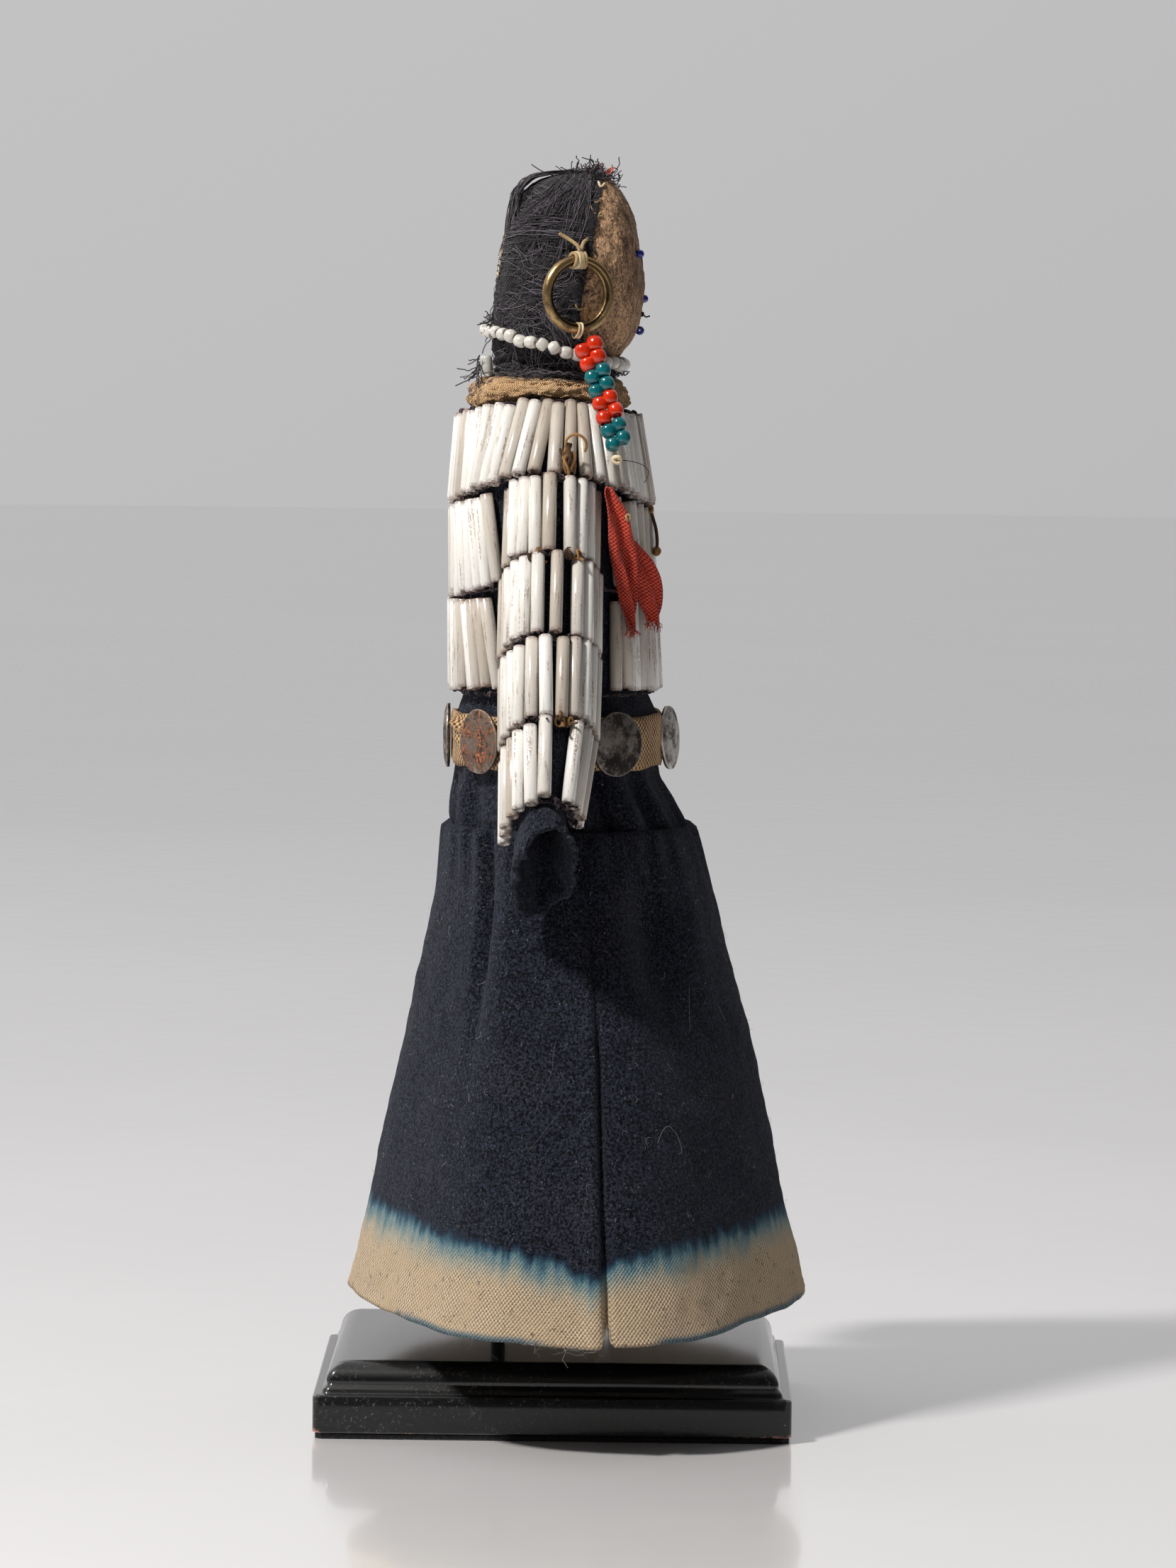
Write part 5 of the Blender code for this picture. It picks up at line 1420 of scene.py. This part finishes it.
def buildStitches():
    dice = random.Random(79)
    pale, dark = [], []
    for side in (-1.0, 1.0):
        for share, spread, rise in paleStitches:
            middle = seamPlace(share)
            ends = (share - rise / 2, middle - spread * 0.5), (share + rise / 2, middle + spread * 0.4)
            path = headPath(dice, side, *ends, (0.15, 0.32, 0.12), 8, 0.0001)
            pale.append([(point, 1.0) for point, width in path])
        for share in darkStitches:
            middle = seamPlace(share)
            ends = (share, middle - 1.6), (share + 0.01, middle + 1.2)
            dark.append(headPath(dice, side, *ends, (0.2, 0.7, 0.3), 6, 0.0001))
    for k in range(3):
        # down the back of the head
        angles = [radians(92 + 2.0 * sin(i * 0.9 + 2 * k)) for i in range(9)]
        pale.append([(Vector(headAt(0.76 - 0.036 * i, angle, 0.00005)), 0.55) for i, angle in enumerate(angles)])
    threads("pale_seam_stitches", pale, 0.00030, sinew, 5, dice)
    # thin dark line down the profile, and the thread knot under the nose bead
    dark.append([(onFace(0.58 - 0.022 * k, 0.0004 * sin(k), 0.0002), 1.0) for k in range(10)])
    knot = onFace(0.30, -0.0006, 0.0006)
    dark.append(lump(dice, knot, 0.00045, 2.0))
    dark.append(curl(dice, knot, (-0.3, -1.0, -0.4), 0.0022, 7, 0.4))
    threads("dark_face_threads", dark, 0.00020, darkThread, 5, dice)


def rowThread(dice, line, first, last, out, steps):
    def spot(t):
        wave = 0.0005 * sin(1.9 * (steps - 1) * t) + dice.uniform(-0.0002, 0.0003)
        return Vector(line(first + (last - first) * t, out + wave)) + upward * dice.gauss(0.0, 0.00022)

    return traced(steps, spot, lambda t: dice.uniform(0.8, 1.3))


# on the ridge of the sleeve, where the rows meet: along it, and back from the ridge in mm
brownKnots = ((0.0203, 2.6), (0.0203, -4.6), (0.0205, -3.4), (0.0609, -2.6), (0.0610, -4.4), (0.0207, 4.2))


def buildRowThreads():
    dice = random.Random(80)
    uniform, gauss = dice.uniform, dice.gauss
    paths = []
    for level in (levels["rowOne"], levels["rowTwo"], levels["neckline"] + 0.0003, levels["rowThree"] - 0.0003):
        for out in (0.0009, 0.0016):
            paths.append(rowThread(dice, bodyLine(level, 0.0), 0.0, tau, out, 150))
        for k in range(16):
            spot = bodyAt(level, uniform(0, tau), 0.0022)
            paths.append(lump(dice, spot, uniform(0.0004, 0.0007), 2.0))
    for side in (-1.0, 1.0):
        for row in range(5):
            along = max(row * sleeve["rowPitch"] + 0.0001, sleeveTubes["top"])
            for out in (0.0008, 0.0016):
                paths.append(rowThread(dice, sleeveLine(side, along, 0.0), -1.7, 1.7, out, 70))
            for k in range(7):
                spot = sleeveAt(side, gauss(0.0, 0.5), along, 0.0022)
                paths.append(lump(dice, spot, uniform(0.0004, 0.00075), 2.0))
                paths.append(curl(dice, spot, (side, gauss(0, 1), -0.6), uniform(0.001, 0.003), 6, 0.6))
    threads("purple_row_threads", paths, 0.00022, darkThread, 4, dice)
    paths = []
    for side in (-1.0, 1.0):
        for along, back in brownKnots:
            spot = Vector(sleeveAt(side, asin(back * mm / 0.0095), along, 0.0026))
            for k in range(3):
                paths.append(lump(dice, spot + jitter(dice, 0.3, 0.5, 0.5) * mm, uniform(0.0007, 0.0012), 2.2))
            paths.append(curl(dice, spot, (side * 0.6, gauss(0, 0.5), -1.0), 0.0032, 7, 0.4, 1.2))
    threads("brown_row_knots", paths, 0.00030, brownThread, 5, dice)


def buildScraps():
    # a torn scrap with a thread loop on the shoulder
    dice = random.Random(81)
    paths = []
    spot = Vector(sleeveAt(-1.0, -0.42, 0.0004, 0.0030)) + Vector((0.0, 0.0010, 0.0044))
    for k in range(16):
        start = spot + (Vector((0.0, 0.0, 0.4)) + jitter(dice, 0.5, 0.5, 1.0)) * mm

        def strand(t):
            return start + Vector((-0.0006 * sin(3 * t), 0.0007 * sin(pi * t + k), 0.0012 - 0.0046 * t))

        paths.append(traced(9, strand, lambda t: 1.5 * sin(pi * (0.12 + 0.8 * t))))

    def loop(t):
        turn, size = 4.4 * t - 0.6, 0.0027 * (1.0 - 0.25 * t)
        around = (-0.0014 * sin(pi * t), -0.0018 - size * cos(turn), 0.0026 + size * sin(turn))
        return spot + Vector(around)

    paths.append(traced(30, loop, 0.38))
    threads("torn_scrap_and_loop", paths, 0.00036, brownThread, 5, dice)
    # the thong at the front, knotted at both ends
    top = Vector(bodyAt(0.2122, radians(-107.0), 0.0036))
    paths = []
    for shift in (-0.0002, 0.0003):
        def strand(t):
            bend = -0.0010 * sin(2.6 * t) - 0.0012 * t
            return top + Vector((shift + 0.0005 * sin(6 * t), bend, -0.0098 * t))

        paths.append(traced(16, strand, lambda t: 1.0 + 0.25 * sin(9 * t)))
    paths.append(lump(dice, top, 0.0007, 2.0))
    paths.append(lump(dice, paths[0][-1][0], 0.0008, 2.5))
    threads("front_thong", paths, 0.00040, brownThread, 6, dice)
    # the fine dark thread that curls from the end of each drop
    paths = []
    for side in (-1.0, 1.0):
        def tail(t):
            out = 0.0262 + 0.001 * sin(5 * t)
            return Vector((side * out, -0.0124 - 0.0072 * sin(2.1 * t), 0.2246 - 0.0052 * t * t))

        paths.append(traced(18, tail))
    threads("drop_end_threads", paths, 0.00010, darkThread, 4, [0.5, 0.5])


# long hairs that lie on the skirt: each point is a share of the way down and an angle in degrees
skirtHairs = (
    ((0.40, 172.4), (0.43, 171.4), (0.46, 171.2), (0.50, 168.6), (0.545, 166.5)),
    ((0.51, 177.2), (0.54, 174.0), (0.58, 169.6), (0.625, 164.6)),
    ((0.605, 203.0), (0.583, 204.7), (0.574, 206.9), (0.588, 209.2), (0.606, 210.4), (0.628, 211.0), (0.632, 209.6)),
    ((0.64, 169.0), (0.66, 168.2), (0.685, 166.6)),
    ((0.335, 148.0), (0.35, 147.4), (0.366, 147.6)),
)


def skirtSpot(row, angle):
    return Vector(skirtSkin[row, int((angle % tau) / tau * skirt["columns"]) % skirt["columns"]])


def buildLint():
    dice = random.Random(82)
    uniform, gauss = dice.uniform, dice.gauss
    paths = []
    for k in range(240):
        # a few are long hairs that follow the skirt, the rest short
        share, angle = uniform(0.04, 0.97), uniform(0.0, tau)
        start = skirtSpot(int(share ** (1 / 0.9) * (skirt["rows"] - 1)), angle)
        away = Vector((cos(angle), sin(angle), 0.15))
        long = k < 6
        length = uniform(0.008, 0.016) if long else uniform(0.0006, 0.0026)
        flat = away.cross(jitter(dice, 1, 1, 1)).normalized()
        bend = gauss(0, 0.35)

        def spot(t):
            place = start + flat * length * t + away.cross(flat) * bend * length * sin(pi * t)
            if not long:
                return place + away * (0.0001 + 0.0007 * t)
            fall = (levels["skirtTop"] - place.z) / (levels["skirtTop"] - levels["hem"])
            return Vector(skirtAt(min(max(fall, 0.02), 0.96), atan2(place.y + 0.004, place.x), 0.0007))

        paths.append(traced(9 if long else 5, spot, lambda t: 1.0 - 0.5 * t))
    for hair in skirtHairs:
        shares, degrees = np.array(hair).T

        def spot(t):
            share, angle = (smoothLine(t * (len(hair) - 1), range(len(hair)), values) for values in (shares, degrees))
            return Vector(skirtAt(share, radians(angle), 0.0010))

        paths.append(traced(21, spot, 2.6))
    for k in range(7):
        # pale specks on the rim of the near cuff
        start = sleeveAt(-1.0, -0.55 - 0.22 * k, 0.0915, 0.0003)
        paths.append(curl(dice, start, (-0.5, gauss(0, 1.0), gauss(0, 0.6)), uniform(0.0008, 0.002), 8, 0.8, 4.5))
    for k in range(40):
        # frayed white threads under the hem at both sides, more of them on the near one
        angle = radians(gauss(176.0, 8.0) if k < 26 else gauss(0.0, 12.0))
        start = skirtSpot(-1, angle) + upward * 0.0004
        paths.append(curl(dice, start, (gauss(0, 0.4), gauss(0, 1.0), -0.5), uniform(0.002, 0.0075), 12, 0.55))
    threads("wool_lint", paths, 0.000024, lintThread, 3, dice)


buildHoodThreads()
buildLocks()
buildStitches()
buildRowThreads()
buildScraps()
buildLint()
print("threads, stitches and lint laid")

# ---- ribbon

# line: level, angle in degrees, width and lift in mm; turn: how far the tail is turned on its length, in degrees
ribbonTails = {
    "long": {"turn": 18.0, "flat": (0.010, 0.030), "area": 0.00026, "line": (
        (0.2128, -148.0, 1.0, 0.2), (0.2114, -147.0, 4.2, 0.6), (0.2088, -145.0, 6.0, 1.2), (0.2040, -143.5, 6.2, 1.4),
        (0.1990, -142.0, 5.6, 1.1), (0.1938, -140.0, 4.6, 1.3), (0.1888, -138.0, 3.8, 0.8),
        (0.1842, -136.5, 1.6, 0.7))},
    "short": {"turn": 34.0, "flat": (0.010, 0.0165), "area": 0.00016, "line": (
        (0.2030, -136.0, 2.0, 0.6), (0.1995, -131.5, 4.2, 1.2), (0.1950, -126.5, 5.2, 1.6), (0.1905, -122.5, 4.6, 1.4),
        (0.1862, -120.5, 2.4, 1.2))},
}
ribbon = {"lift": 0.0050, "cloth": 0.00035, "rows": 60, "columns": 16}


def buildRibbon():
    dice = random.Random(83)
    ends = []
    across = np.linspace(-0.5, 0.5, ribbon["columns"])
    for name, tail in ribbonTails.items():
        count = len(tail["line"])
        t = np.linspace(0, count - 1, ribbon["rows"])
        level, degrees, width, lift = (smoothLine(t, range(count), column)[:, None] for column in zip(*tail["line"]))
        angle = np.radians(degrees) + across * width * mm / 0.0290
        flute = 0.0010 * np.sin(across * 9.0 + level * 240.0) + 0.0002 * np.sin(across * 15.0 - level * 500.0)
        out = ribbon["lift"] + lift * mm + flute + across * width * mm * tan(radians(tail["turn"]))
        outer, inner = bodyAt(level, angle, out), bodyAt(level, angle, out - ribbon["cloth"])
        u = np.concatenate([across, across[::-1], across[:1]]) * 0.0066
        made = gridPiece("ribbon_" + name + "_tail", np.concatenate([outer, inner[:, ::-1]], 1), ribbonCloth,
                         "breast_ribbon", ends="closed", lay=(u, level[:, 0]))
        ends += list(outer[-1])
    fray = [curl(dice, spot, (dice.gauss(0, 0.3), dice.gauss(0, 0.4), -1.0), dice.uniform(0.0008, 0.0026), 6, 0.35)
            for spot in ends for k in range(2)]
    threads("ribbon_fray", fray, 0.00008, redThread, 4, dice)
    knot = lump(dice, bodyAt(0.2073, radians(-141.0), 0.0076), 0.0007, 2.6)
    threads("ribbon_knot", [knot], 0.00032, sinew, 6, [0.2])


buildRibbon()
print("ribbon built")

# ---- end

print("sizes written")
